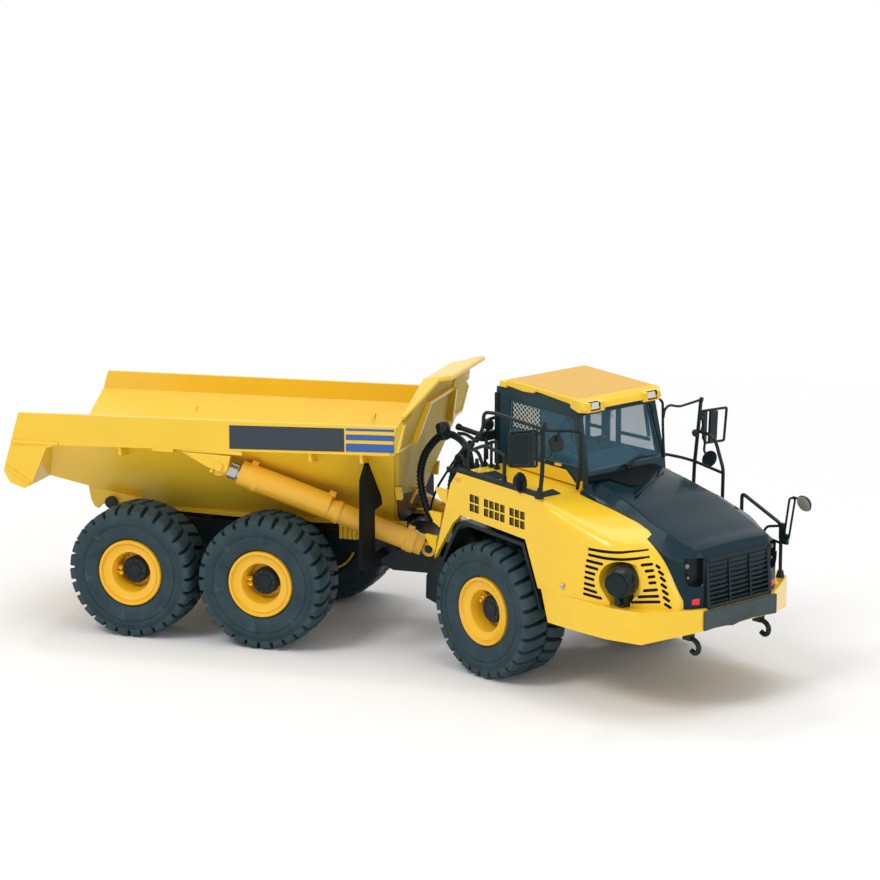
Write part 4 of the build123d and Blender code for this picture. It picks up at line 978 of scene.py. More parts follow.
def grille_bar(shape, y0, y1, z0, z1, back, front=0.3):
    """A bar in the grille's leaning plane."""
    corners = ((y0, z0), (y1, z0), (y1, z1), (y0, z1))
    return shape.loft([[(150.05 + push + GRILLE_LEAN * (z - 29.2), y, z) for y,
                        z in corners] for push in (back, front)])


def make_grille():
    """Framed grille in three columns of louvres, each with a row of bolts."""
    border, louvres, bolts = Shape(), Shape(), Shape()
    for bar in GRILLE_BARS:
        grille_bar(border, *bar)
    piece("grille_frame", border, "bonnet_charcoal", "black_plastic", replaces="grille", bevel=0.15)
    piece("grille_back", grille_bar(Shape(), -11.4, 11.4, 28.9, 41.6, -1.4, -1.1), "black_plastic")
    step = (GRILLE_STEP * GRILLE_LEAN, 0.0, GRILLE_STEP)
    for y in LOUVRE_COLUMNS:
        outline = [(149.1, 30.55), (149.1, 30.3), (150.15, 29.85), (150.25, 30.15)]
        louvre = Shape().prism(outline, "xz", y - 3.55, y + 3.55)
        louvres.row(louvre, GRILLE_ROWS, step, "black_plastic")
    for y in BOLT_COLUMNS:
        bolt = Shape().rod((150.1, y, 30.3), (150.45, y, 30.3), 0.22, 8)
        bolts.row(bolt, GRILLE_ROWS, step, "gloss_black")
    piece("grille_louvres", louvres, "black_plastic", "black_plastic")
    piece("grille_bolts", bolts, "black_plastic", "gloss_black")


# ---------------------------------------------------------------- cab
CAB_HALF = 14.2
CAB_OUTLINE = ((71.4, 52.2), (71.4, 75.9), (76.6, 76.8), (86.4, 76.6), (102.2, 75.6), (103.0, 73.4),
               (107.2, 57.2), (107.6, 54.0), (107.6, 52.2))
SIDE_GLASS = ((76.0, 58.6), (77.0, 72.9), (101.0, 71.8), (104.4, 58.6))
SCREEN_GLASS = ((-13.3, 57.9), (-12.3, 72.5), (12.3, 72.5), (13.3, 57.9))
REAR_GLASS = ((-12.0, 59.0), (-12.0, 72.4), (12.0, 72.4), (12.0, 59.0))
SCREEN_LEAN = (102.4 - 107.2) / (73.4 - 57.2)


def shrunk(outline, amount):
    """An outline moved inwards by about the given amount, with its corners rounded."""
    cx = sum(p[0] for p in outline) / len(outline)
    cz = sum(p[1] for p in outline) / len(outline)
    small = [(x - math.copysign(amount, x - cx), z - math.copysign(amount, z - cz)) for x, z in outline]
    ring = rounded([(*small[0], 0), (*small[1], 0), (*small[2], 0), (*small[3], 0), (*small[0], 0),
                    (*small[1], 0)], 0.8, 4)
    return [(p.x, p.y) for p in ring[1:-1]][:20]


def leaned(outline, x, thickness):
    """The windscreen's sloping plane: rings of an outline of (y, z) at x for z 57.2."""
    return [[(x + push + SCREEN_LEAN * (z - 57.2), y, z) for y, z in outline] for push in (0, thickness)]


def seal(shape, outline, places):
    """Adds a thin flat frame just inside an outline; places turns an outline into its two rings."""
    outer, inner = places(shrunk(outline, 0.02)), places(shrunk(outline, 0.3))
    frame_shape = Shape().loft([outer[0], outer[1], inner[1], inner[0]], looped=True)
    shape.add(frame_shape.mesh("seal"))


def flare(verts):
    """Widens the cab a little towards its left front pillar."""
    for vert in verts:
        rise = min(1.0, max(0.0, (vert.co.x - 95.0) / 8.0))
        if vert.co.y > 0:
            vert.co.y *= 1 + 0.085 * rise * rise * (3 - 2 * rise)


def make_cab_shell(sizes):
    shell = Shape().prism(CAB_OUTLINE, "xz", -CAB_HALF, CAB_HALF)
    room = Shape().prism([(72.6, 53.4), (72.6, 74.6), (101.6, 73.0), (106.0, 56.8), (106.3, 53.4)], "xz",
                         -CAB_HALF + 1.1, CAB_HALF - 1.1)
    side_hole = Shape().prism(shrunk(SIDE_GLASS, 0), "xz", -CAB_HALF - 1, CAB_HALF + 1)
    screen_hole = Shape().loft(leaned(shrunk(SCREEN_GLASS, 0), 104.0, 8.0))
    rear_hole = Shape().prism(shrunk(REAR_GLASS, 0), "yz", 69.0, 74.0)
    cuts = [(tool, "bonnet_charcoal") for tool in (room, side_hole, screen_hole, rear_hole)]
    shell = carved(shell, cuts, "bonnet_charcoal", flare)
    piece("cab_shell_frame", shell, "bonnet_charcoal", replaces="cab_shell", bevel=sizes.edge / MM, crisp=26)


def make_cab_glass():
    panes, seals = Shape(), Shape()
    for low, high in ((CAB_HALF - 0.75, CAB_HALF - 0.45), (-CAB_HALF + 0.45, -CAB_HALF + 0.75)):
        panes.prism(shrunk(SIDE_GLASS, 0.05), "xz", low, high)
    panes.loft(leaned(shrunk(SCREEN_GLASS, 0.05), 106.5, 0.3))
    panes.prism(shrunk(REAR_GLASS, 0.05), "yz", 71.8, 72.1)
    flare(panes.bm.verts)
    piece("cab_glass_panes", panes, "glass", replaces="cab_windows")
    for sign in SIDES.values():
        seal(seals, SIDE_GLASS, lambda outline, sign=sign: [
            [(x, sign * (CAB_HALF - depth), z) for x, z in outline] for depth in (0.45, 0.2)])
    seal(seals, SCREEN_GLASS, lambda outline: leaned(outline, 106.85, 0.2))
    flare(seals.bm.verts)
    piece("cab_glass_edges", seals, "glass", "seal")


def make_cab_roof():
    profile = [(75.8, 76.6), (75.8, 78.5), (76.6, 78.7), (103.9, 77.35), (105.9, 76.0), (106.6, 74.5),
               (105.2, 74.3), (102.6, 75.2), (99.8, 75.7), (87.6, 76.9), (86.6, 76.3), (82.8, 76.1),
               (76.6, 76.7)]
    roof = Shape().prism(profile, "xz", -14.9, 14.7)
    piece("cab_roof_panel", roof, "yellow_paint", replaces="cab_roof", bevel=0.4, crisp=22, segments=3)
    # The roof top takes the darker roof finish: painted shade with a painted pale sheen.
    top = ((77.0, -14.3, 78.66), (103.4, -14.3, 77.36), (103.4, 14.1, 77.36), (77.0, 14.1, 78.66))
    skin = Shape().loft([[(x, y, z + rise) for x, y, z in top] for rise in (-0.3, 0.06)])
    piece("cab_roof_top", skin, "yellow_paint", "roof")
    pods, lamp_holes, lenses, tabs = Shape(), Shape(), Shape(), Shape()
    outline = [(101.6, 7.3), (106.7, 7.3), (106.7, 13.6), (104.6, 15.3), (101.2, 15.0)]
    pods.loft([[(x, y, 73.85 + (0.9 if x < 103 else 0.0)) for x, y in outline],
               [(x, y, min(77.3, 77.3 - (x - 104.0) * 0.35)) for x, y in outline]])
    lamp_holes.box((105.6, 9.1, 74.25), (107.6, 12.6, 76.55))
    lenses.box((105.3, 9.3, 74.6), (106.45, 12.0, 76.35))
    tabs.box((73.3, 12.9, 76.2), (76.0, 15.0, 77.9))
    pods = carved(pods.mirrored(), [(lamp_holes.mirrored(), "black_plastic")], "yellow_paint")
    piece("roof_lamp_pods", pods, "yellow_paint", bevel=0.3, crisp=22, segments=3)
    piece("roof_edges", tabs.mirrored(), "yellow_paint", bevel=0.25, crisp=22, segments=3)
    piece("roof_lamp_lenses", lenses.mirrored(), "lamp", "mirror", bevel=0.15)


# Bars inside the left door: x from, x to, z from, z to.
DOOR_BARS = ((84.8, 88.0, 58.8, 74.0), (90.4, 92.2, 59.2, 74.0), (78.4, 80.2, 58.8, 74.0),
             (78.9, 84.8, 62.0, 63.0), (91.0, 103.6, 61.8, 62.8), (78.0, 104.0, 57.6, 59.4))
# Lattice on the rear part of the side glass: its window in x and z, pitch, and slope of its lines.
LATTICE_X, LATTICE_Z, LATTICE_PITCH, LATTICE_SLOPE = (77.7, 88.2), (65.6, 72.4), 1.6, 1.33 / 1.6


def make_lattice():
    """Crossing lines, kept where they lie inside the lattice's window."""
    lattice = Shape()
    (left, right), (low, high) = LATTICE_X, LATTICE_Z
    for y in (CAB_HALF - 0.4, 0.4 - CAB_HALF):
        for slope in (LATTICE_SLOPE, -LATTICE_SLOPE):
            for k in range(-8, 16):
                foot = left + LATTICE_PITCH * k
                z0, z1 = sorted([low, high, low + (left - foot) * slope, low + (right - foot) * slope])[1:3]
                x0, x1 = (foot + (z - low) / slope for z in (z0, z1))
                across = left - 0.01 <= min(x0, x1) and max(x0, x1) <= right + 0.01
                if across and low - 0.01 <= z0 and z1 <= high + 0.01:
                    lattice.rod((x0, y, z0), (x1, y, z1), 0.1, 6)
    piece("side_glass_lattice", lattice, "plate_grey", "lattice")


def make_cab(sizes):
    make_cab_shell(sizes)
    make_cab_glass()
    make_cab_roof()
    bars = Shape()
    for x0, x1, z0, z1 in DOOR_BARS:
        bars.box((x0, 12.9, z0), (x1, 13.4, z1))
    bars.pipe([(101.2, 13.1, 73.0), (101.8, 13.1, 70.0), (103.2, 13.1, 63.0)], 0.55, 8, 0.5)
    piece("cab_door_bars", bars, "black_plastic", "trim", bevel=0.15)
    # A glossy dark panel just inside the rear glass: painted shade of the cab's interior.
    guard = Shape().box((73.0, -12.6, 57.4), (73.4, 12.6, 74.2))
    piece("cab_interior_painted_shade", guard, "plate_grey", "dark_gloss_and_shade")
    make_lattice()
    # screen wiper, ducts and the box behind the cab
    small = Shape()
    small.pipe([(107.9, -6.4, 55.6), (107.7, -0.5, 57.2), (107.0, 6.0, 59.4)], 0.3, 8, 1)
    small.pipe([(107.5, 1.0, 58.1), (107.2, 6.5, 59.0), (107.0, 12.2, 58.4)], 0.22, 8, 1)
    small.rod((108.2, -6.6, 54.6), (107.9, -6.4, 55.9), 0.6, 12)
    small.box((71.0, -14.6, 54.2), (72.6, -9.8, 74.2))
    small.box((70.4, 9.8, 54.2), (72.2, 14.2, 73.0))
    small.box((69.4, -19.4, 61.0), (71.2, -14.0, 63.6))
    small.rod((69.8, -16.6, 65.4), (71.4, -16.7, 65.4), 1.5, 24)
    small.pipe([(70.4, -16.6, 62.0), (70.4, -16.6, 66.6), (70.4, -14.2, 66.9)], 0.5, 8, 0.6)
    small.pipe([(108.3, 3.2, 53.9), (108.0, -0.8, 58.2), (107.7, 2.4, 57.4)], 0.3, 8, 0.6)
    small.box((107.6, -5.8, 54.6), (108.6, 6.0, 55.8))
    piece("cab_wiper_and_ducts", small, "black_plastic", bevel=0.15)
    corner = Shape().box((106.2, -16.8, 51.2), (106.8, -15.4, 55.6))
    piece("deck_corner_plate", corner, "yellow_paint", bevel=0.15)
    catches = Shape()
    for x in (80.0, 88.5, 95.0):
        catches.box((x, 14.0, 57.9), (x + 2.4, 14.75, 58.6))
    piece("window_catches", catches.mirrored(), "yellow_paint", bevel=0.12)


def make_interior():
    for node in ("seat", "dashboard"):
        soften(node, 0.5, "trim")
    centre, section = (94.6, 0, 62.4), 0.35
    wheel = Shape().turned([(3.2 + section * math.cos(a), section * math.sin(a)) for a in angles(8)], 36,
                           "z", True)
    for turn in (90, 210, 330):
        a = math.radians(turn)
        wheel.rod((0, 0, 0), (3.1 * math.cos(a), 3.1 * math.sin(a), 0), 0.25, 8)
    wheel.moved(aimed(centre, (-0.5, 0, 0.866)))
    wheel.rod((97.2, 0, 57.6), centre, 0.5, 12)
    piece("steering_wheel_rim", wheel, "black_plastic", replaces="steering_wheel")


# ---------------------------------------------------------------- rails, mirrors and deck
def make_rails(sizes):
    r = sizes.rail / MM / 2
    y = -30.4
    right = Shape()
    right.pipe([(74.0, y, 55.3), (105.6, y, 54.0)], 0.85, 12)
    right.pipe([(105.8, y, 53.6), (106.7, y, 59.8), (107.1, y, 73.2)], r * 1.15, 12, 3)
    right.rod((105.6, y, 53.2), (105.9, y, 56.0), 1.3, 14, 0.6)
    right.pipe([(77.8, y, 54.4), (77.8, y, 60.6), (79.8, y, 64.3), (83.6, y, 68.2), (83.8, y, 73.0),
                (88.3, y, 73.4), (106.8, y, 72.1)],
               r, 10, 1.8)
    right.pipe([(78.4, y, 61.4), (82.8, y, 63.3), (84.6, y, 63.9), (92.2, y, 62.5), (91.9, y, 54.6)], r, 10,
               1.0)
    right.rod((91.9, y, 54.6), (91.9, y, 57.0), 1.0, 12, 0.55)
    right.pipe([(107.1, y, 71.9), (107.4, -18.0, 69.9), (107.6, -16.9, 69.2), (107.4, -16.9, 60.6),
                (106.2, -16.9, 53.6)], r, 10, 1.2)
    right.rod((108.0, y, 72.2), (107.6, y, 74.2), 0.7, 12)
    piece("handrail_right_bars", right, "black_plastic", replaces="handrail_right", crisp=40)
    left = Shape()
    left.pipe([(106.0, 28.0, 45.9), (106.3, 28.0, 53.6), (107.5, 28.0, 64.0), (108.3, 28.0, 71.6)],
              r * 1.05, 12, 2)
    left.pipe([(107.4, 28.0, 63.1), (112.2, 28.0, 62.7), (114.2, 28.0, 61.2), (117.2, 28.0, 53.9),
               (117.0, 28.0, 37.7)], r, 10, 1.4)
    left.pipe([(104.0, 16.4, 53.6), (104.0, 16.4, 57.0), (104.2, 18.6, 57.4), (105.4, 24.0, 55.8),
               (106.3, 28.0, 54.3), (117.2, 28.0, 52.8)],
              r * 0.85, 10, 1.2)
    left.rod((108.3, 28.0, 71.4), (108.5, 28.2, 72.6), 0.6, 14)
    for x, z in ((106.0, 45.9), (117.0, 37.7)):
        left.rod((x, 28.0, z), (x, 28.0, z + 1.6), 1.0, 14, 0.6)
    left.pipe([(106.2, 13.4, 74.2), (106.6, 14.8, 73.0), (106.6, 15.0, 66.0), (107.0, 15.0, 60.0),
               (107.4, 14.9, 57.6)], r * 0.75, 10, 1.0)
    left.pipe([(106.8, 14.9, 68.6), (107.2, 15.0, 71.0), (107.5, 16.4, 72.0), (107.5, 20.4, 71.0),
               (107.5, 23.2, 71.2), (108.3, 28.2, 72.0)],
              r * 0.72, 10, 1.2)
    left.rod((106.9, 27.4, 62.6), (107.9, 26.6, 62.6), 1.0, 16)
    piece("handrail_left_bars", left, "black_plastic", replaces="handrail_left", crisp=40)
    guard = Shape()
    yy = 24.2
    guard.rod((127.8, yy, 33.8), (127.8, yy, 35.2), 1.0, 14, 0.6)
    guard.pipe([(127.8, yy, 33.8), (127.9, yy, 49.8), (142.2, yy, 43.9), (142.4, yy, 38.0),
                (142.4, yy, 33.0), (141.2, 25.6, 28.9)], r, 12, 1.3)
    guard.pipe([(142.2, yy, 43.3), (137.3, yy, 42.3), (136.0, yy, 40.4), (137.5, yy, 39.1),
                (142.2, yy, 38.6)], r * 0.75, 10, 1.2)
    guard.box((142.0, yy - 0.5, 40.0), (143.4, yy + 0.5, 44.2))
    guard.box((143.2, yy - 0.45, 38.6), (144.9, yy + 0.45, 41.4))
    guard.pipe([(144.0, yy, 39.4), (143.7, yy, 42.0), (145.2, yy, 51.6), (147.2, yy, 51.8),
                (145.2, yy, 40.4), (144.0, yy, 39.2)],
               r * 0.62, 8, 0.8)
    guard.pipe([(146.4, yy, 52.0), (148.6, yy, 51.9)], r * 0.7, 8)
    guard.rod((141.2, 25.6, 28.3), (141.4, 25.4, 30.6), 1.3, 14, 0.8)
    piece("front_rail_bars", guard, "black_plastic", replaces="front_rail", crisp=40)


FRONT_MIRROR = (0.007, -0.946, -0.317)                     # the way the front mirror faces


def make_mirrors(sizes):
    r = sizes.rail / MM / 2
    glass, shells = Shape(), Shape()
    # right: open frame with a dark mirror and a narrow bright one
    x = 106.6
    shells.pipe([(x, -32.4, 67.0), (x, -32.4, 72.0), (x, -42.2, 73.0), (x, -42.2, 63.8), (x, -32.3, 62.3),
                 (x, -32.4, 67.2)], r * 0.75, 10, 0.7)
    shells.prism([(-35.2, 62.9), (-35.2, 72.0), (-41.5, 72.6), (-41.5, 63.9)], "yz", x - 0.5, x + 0.5)
    shells.prism([(-33.2, 62.8), (-33.2, 71.6), (-34.7, 71.8), (-34.7, 62.9)], "yz", x - 0.4, x + 0.2)
    shells.pipe([(107.0, -30.4, 71.2), (x, -32.4, 71.2)], r, 10)
    shells.pipe([(106.9, -30.4, 64.0), (x, -32.4, 64.0)], r, 10)
    dark = Shape()
    dark.prism([(-35.9, 63.6), (-35.9, 71.4), (-40.9, 72.0), (-40.9, 64.5)], "yz", x + 0.42, x + 0.57)
    dark.prism([(-35.7, 63.6), (-35.7, 71.4), (-41.0, 72.0), (-41.0, 64.4)], "yz", x - 0.62, x - 0.52)
    piece("mirror_right_glass", dark, "plate_grey", "dark_gloss_and_shade")
    shells.dish((106.9, -25.4, 67.6), (0.75, -0.27, 0.37), 2.3, 1.5)
    shells.dish((98.8, -30.4, 56.2), (0.917, 0.254, 0.219), 2.9, 1.6)
    shells.pipe([(107.3, -24.8, 70.6), (107.0, -25.2, 68.4)], 0.35, 8)
    shells.pipe([(99.0, -30.4, 54.4), (99.2, -30.3, 56.6)], 0.45, 8)
    shells.pipe([(106.6, -25.0, 66.6), (106.4, -26.4, 65.4), (106.6, -26.9, 63.9)], 0.45, 8, 0.5)
    piece("mirror_right_frame", shells, "black_plastic", replaces="mirror_right", crisp=40)
    left = Shape()
    x = 108.0
    left.pipe([(x, 28.9, 66.0), (x, 28.9, 68.6), (x, 38.7, 68.2), (x, 37.8, 59.0), (x, 30.2, 59.4),
               (x, 28.9, 64.0)], r * 0.75, 10, 0.5)
    left.prism([(29.0, 68.4), (30.7, 68.3), (30.4, 59.6), (29.4, 60.6)], "yz", x - 0.4, x + 0.4)
    left.prism([(32.1, 68.1), (34.9, 67.9), (34.5, 59.3), (31.7, 59.5)], "yz", x - 0.4, x + 0.4)
    left.pipe([(108.1, 28.0, 67.0), (x, 29.0, 67.0)], r, 8)
    left.dish((108.3, 31.6, 54.8), (0.092, -0.885, 0.472), 2.45, 1.2)
    left.pipe([(x, 30.2, 59.4), (107.8, 30.1, 57.2), (107.9, 31.6, 55.2)], 0.35, 8, 0.6)
    piece("mirror_left_frame", left, "black_plastic", replaces="mirror_left", crisp=40)
    glass.prism([(32.4, 67.7), (34.6, 67.5), (34.2, 59.7), (32.0, 59.9)], "yz", x - 0.52, x - 0.42)
    piece("front_mirror_shell", Shape().dish((150.2, 24.2, 50.8), FRONT_MIRROR, 2.4, 1.3), "black_plastic",
          crisp=40)
    # The round mirror's face is matt grey-beige: a painted reflection.
    face = Shape().turned([(0, 0.22), (1.3, 0.16), (2.2, 0.0), (2.2, -0.1), (0, -0.1)], 32, axis="z")
    face.moved(aimed((150.2, 24.1, 50.77), FRONT_MIRROR))
    piece("mirror_faces_round", face, "steel", "mirror_face")
    piece("mirror_faces_flat", glass, "steel", "mirror")


def make_deck():
    """Non-slip plates, hoses and fittings behind the cab, small marks and hooks."""
    plates = Shape()
    for outline in (((78.4, -29.4), (86.0, -29.4), (86.0, -23.6), (79.4, -22.0)),
                    ((103.0, -29.4), (106.2, -29.2), (106.3, -23.2), (102.0, -22.1))):
        plates.loft([[(x, y, 54.8 - (x - 73.9) * 0.0437 + d) for x, y in outline] for d in (-0.1, 0.22)])
    piece("deck_plates", plates, "plate_grey", "tread_plate", bevel=0.08)
    hoses = Shape()
    long_hose = rounded([(56.4, -20.6, 60.9), (53.4, -20.6, 58.8), (49.6, -20.6, 55.0), (47.5, -20.6, 50.8),
                         (47.1, -20.8, 46.9), (48.2, -20.8, 42.1), (50.2, -20.8, 38.2),
                         (52.4, -20.8, 36.0)], 2.5)
    short_hose = rounded([(66.6, -19.4, 59.6), (61.6, -19.2, 53.6), (58.6, -19.2, 48.4),
                          (58.0, -19.4, 40.0), (60.0, -19.0, 33.4)], 2.5)
    for route, ribs in ((long_hose, 29), (short_hose, 27)):
        hoses.ribbed(route, 0.9, ribs, 1.14, 0.62, "black_plastic")
    hoses.pipe([(56.0, -20.6, 60.6), (60.6, -21.0, 61.4), (65.2, -21.2, 60.3), (68.0, -21.6, 57.8),
                (68.8, -22.0, 53.6)], 0.78, 12, 3)
    hoses.pipe([(57.6, -21.2, 61.2), (61.4, -21.8, 62.6), (66.4, -21.8, 61.2), (69.6, -22.0, 58.4),
                (70.4, -22.0, 53.6)], 0.5, 10, 3)
    hoses.pipe([(66.4, -21.5, 59.4), (62.5, -21.5, 54.9), (59.0, -21.5, 50.6), (55.2, -21.5, 45.8),
                (53.0, -21.5, 41.4), (52.2, -21.5, 38.6), (52.0, -20.8, 35.6)], 0.34, 8, 2.5)
    hoses.rod((60.4, -18.4, 63.2), (69.6, -18.0, 62.4), 0.72, 16)
    hoses.rod((60.2, -18.4, 63.3), (61.0, -18.4, 63.2), 0.95, 16)
    hoses.pipe([(61.0, -18.9, 61.6), (64.0, -18.9, 61.9), (68.8, -18.9, 60.6)], 0.5, 8, 1.2)
    hoses.pipe([(69.4, -18.2, 62.4), (71.4, -18.0, 61.6), (71.6, -18.0, 56.0)], 0.5, 8, 1.2)
    for x, top in ((73.1, 60.4), (75.6, 61.6), (77.9, 62.4)):
        hoses.rod((x, -20.0, 53.6), (x, -20.0, top), 0.42, 10)
        hoses.rod((x, -20.0, 53.6), (x, -20.0, 55.6), 0.85, 12)
    hoses.pipe([(72.9, -20.0, 60.2), (75.6, -20.0, 61.8), (78.2, -20.0, 62.2)], 0.45, 8, 0.8)
    hoses.pipe([(66.8, -23.4, 57.6), (69.0, -23.4, 59.8), (72.4, -22.0, 59.0), (74.2, -21.4, 54.2)], 0.5,
               10, 1.5)
    hoses.pipe([(65.0, -24.0, 53.0), (65.8, -24.0, 57.2), (68.6, -24.0, 57.4), (69.4, -24.0, 53.6)], 0.5,
               10, 1.4)
    for x, y in ((67.2, -22.4), (70.4, -24.6), (72.6, -22.6)):
        hoses.rod((x, y, 53.2), (x, y, 57.0), 0.75, 12, 0.5)
    hoses.box((64.4, -26.4, 52.4), (73.4, -17.4, 53.9))
    piece("deck_hoses_pipes", hoses, "black_plastic", replaces="deck_hoses", crisp=40)
    cap = Shape().turned([(0, 3.2), (1.6, 2.9), (2.0, 2.2), (2.0, 0.3), (1.6, -0.3), (1.25, -0.5),
                          (1.25, -1.9), (0, -2.2)], 28, axis="z")
    cap.moved(aimed((57.0, -20.6, 61.3), (-0.35, 0, 0.94)))
    piece("hose_cap", cap, "black_plastic", crisp=35)
    tabs = Shape()
    for x, z in ((65.2, 47.2), (62.7, 40.2), (60.8, 33.3)):
        tabs.prism([(x - 1.2, z + 1.0), (x - 0.9, z + 1.5), (x + 4.0, z + 1.6), (x + 3.4, z - 2.6),
                    (x + 0.9, z - 1.6)], "xz", -30.4, -29.4)
    piece("panel_rear_tabs", tabs, "yellow_paint", bevel=0.2)
    mark = Shape().prism([(72.4, 52.6), (73.4, 53.2), (75.6, 53.3), (75.7, 52.8), (74.6, 51.9),
                          (73.6, 51.9), (73.9, 52.5), (72.9, 52.4)], "xz", -31.04, -30.9)
    piece("panel_orange_mark", mark, "lamp", "orange")
    knob = Shape().rod((115.5, -29.6, 31.2), (115.5, -31.4, 31.2), 0.7, 16)
    knob.rod((115.5, -30.6, 31.2), (115.9, -31.7, 31.8), 0.35, 8)
    piece("panel_knob", knob, "steel", bevel=0.1)
    hooks = Shape()
    hooks.pipe([(143.8, 13.4, 20.0), (145.9, 13.4, 20.0), (147.7, 13.4, 19.5), (148.7, 13.4, 18.2),
                (148.3, 13.4, 16.7), (147.1, 13.4, 16.1), (145.9, 13.4, 16.7)], 0.72, 12, 1.0)
    hooks.box((143.4, 12.5, 19.4), (146.2, 14.3, 21.4))
    piece("tow_hooks_bent", hooks.mirrored(), "black_plastic", "gloss_black", replaces="tow_hooks", crisp=40)


# ---------------------------------------------------------------- dump body
# x, rail half width, rail top, rail bottom, floor half width, floor height.
TIPPER_ROWS = ((-73.6, 31.8, 62.3, 53.1, 21.3, 43.9), (-34.0, 30.7, 63.4, 54.6, 7.6, 31.2),
               (38.9, 28.6, 65.3, 57.0, 6.8, 32.8))
GUSSETS = (-43.4, 13.2, 28.1)
UNDER_TABS = ((-33.4, -26.9), (-24.8, -6.4))


def tipper_at(x):
    """Rail and floor numbers at a place along the dump body."""
    k = 0 if x < TIPPER_ROWS[1][0] else 1
    a, b = TIPPER_ROWS[k], TIPPER_ROWS[k + 1]
    t = (x - a[0]) / (b[0] - a[0])
    return [p + (q - p) * t for p, q in zip(a[1:], b[1:])]


def rail_plate(shape, corners, proud=0.07):
    """A thin plate on the outside of the rail, from corners as (x, z)."""
    return shape.loft([[(x, tipper_at(x)[0] + d, z) for x, z in corners] for d in (-0.1, proud)])


HOOD_CORNERS = {"corner": (39.2, 28.6, 66.5), "side": (40.4, 28.5, 68.5), "cheek": (45.7, 13.7, 76.6),
                "lip": (49.6, 14.5, 77.5), "crown": (41.0, 12.6, 75.7)}
WALL_LEAN = 0.26


def wall_point(y, z, proud=0.0):
    """A point in front of the leaning front wall."""
    return (40.35 + proud + WALL_LEAN * (z - 65.3), y, z)


def wall_plate(shape, corners, back, proud):
    """A plate on the front wall, from corners as (y, z)."""
    return shape.loft([[wall_point(y, z, push) for y, z in corners] for push in (back, proud)])


def make_hood():
    """Spill guard with a rolled edge, and the ribs under it on the front wall."""
    left = {name: Vector(p) for name, p in HOOD_CORNERS.items()}
    right = {name: Vector((p.x, -p.y, p.z)) for name, p in left.items()}
    hood = Shape()
    drop = Vector((0, 0, -1.2))
    for ring in ([left["corner"], left["side"], left["cheek"], left["crown"]],
                 [left["crown"], left["lip"], right["lip"], right["crown"]],
                 [right["crown"], right["cheek"], right["side"], right["corner"]]):
        hood.loft([[p + drop for p in ring], ring])
    for edge in ([left["side"], left["cheek"]], [left["cheek"], left["lip"], right["lip"], right["cheek"]],
                 [right["cheek"], right["side"]]):
        hood.pipe([p + Vector((0.1, 0, -0.55)) for p in edge], 0.68, 10)
    piece("body_hood_panels", hood, "body_yellow", body="dump_body", replaces="body_hood", crisp=30)
    ribs = Shape()
    for (y0, z0), (y1, z1), wide, proud in (((11.5, 68.4), (16.2, 58.0), 1.3, 1.9),
                                            ((28.0, 66.0), (28.0, 58.0), 1.0, 0.7),
                                            ((28.0, 58.4), (16.2, 58.2), 0.9, 0.8),
                                            ((0.0, 68.6), (11.9, 68.6), 1.0, 1.3)):
        across = Vector((0, -(z1 - z0), y1 - y0)).normalized() * wide / 2
        ends = [(y0 - across.y, z0 - across.z), (y0 + across.y, z0 + across.z),
                (y1 + across.y, z1 + across.z), (y1 - across.y, z1 - across.z)]
        wall_plate(ribs, ends, -0.5, proud)
    # The wings take the front wall's darker, greyer finish: painted shade.
    corners = ((27.7, 57.6), (16.4, 57.9), (11.6, 68.2), (12.8, 74.8), (27.8, 66.4))
    wings = wall_plate(Shape(), corners, -0.5, 0.5)
    piece("front_wall_wings", wings.mirrored(), "body_yellow", "front_wall", body="dump_body", bevel=0.2)
    ribs.mirrored()
    ribs.pipe([wall_point(-2.0, 41.6, 0.2), wall_point(-2.0, 41.6, 1.8), wall_point(-4.6, 40.8, 1.8),
               wall_point(-4.8, 38.2, 1.4)], 0.5, 8, 0.6)
    piece("front_wall_ribs", ribs, "body_yellow", body="dump_body", bevel=0.2)
    # Brown and black plates low on the front wall: painted shade under the dump body.
    brown = wall_plate(Shape(), ((-15.6, 42.8), (11.6, 38.6), (8.6, 34.9), (-9.4, 35.9)), -0.4, 0.25)
    black = wall_plate(Shape(), ((-9.4, 35.9), (8.6, 34.9), (6.6, 32.9), (-6.6, 32.9)), -0.4, 0.25)
    piece("front_wall_shade", brown, "body_yellow", "underside", body="dump_body")
    piece("front_wall_deep_shade", black, "chassis_black", body="dump_body")


def make_brackets():
    """Hinge lugs at the tail and the plates that hold the hoists."""
    shape = Shape()
    shape.prism([(-60.4, 38.4), (-59.6, 34.2), (-58.6, 32.2), (-57.4, 31.6), (-56.4, 32.8), (-55.2, 33.0),
                 (-54.6, 32.4), (-51.2, 32.0), (-49.8, 34.0), (-44.2, 35.6)], "xz", 12.6, 14.4)
    shape.prism([(-24.4, 54.2), (-22.6, 53.4), (-16.6, 50.4), (-12.4, 49.2), (-10.8, 49.6), (-9.6, 54.0)],
                "xz", 29.7, 30.5)
    shape.rod((-13.1, 29.6, 50.9), (-13.1, 31.3, 50.9), 1.45, 32, 1.25)
    shape.rod((-15.3, 29.9, 49.5), (-15.3, 30.9, 49.5), 0.5, 12)
    shape.mirrored()
    piece("body_bracket_plates", shape, "body_yellow", body="dump_body", replaces="body_brackets", bevel=0.12)


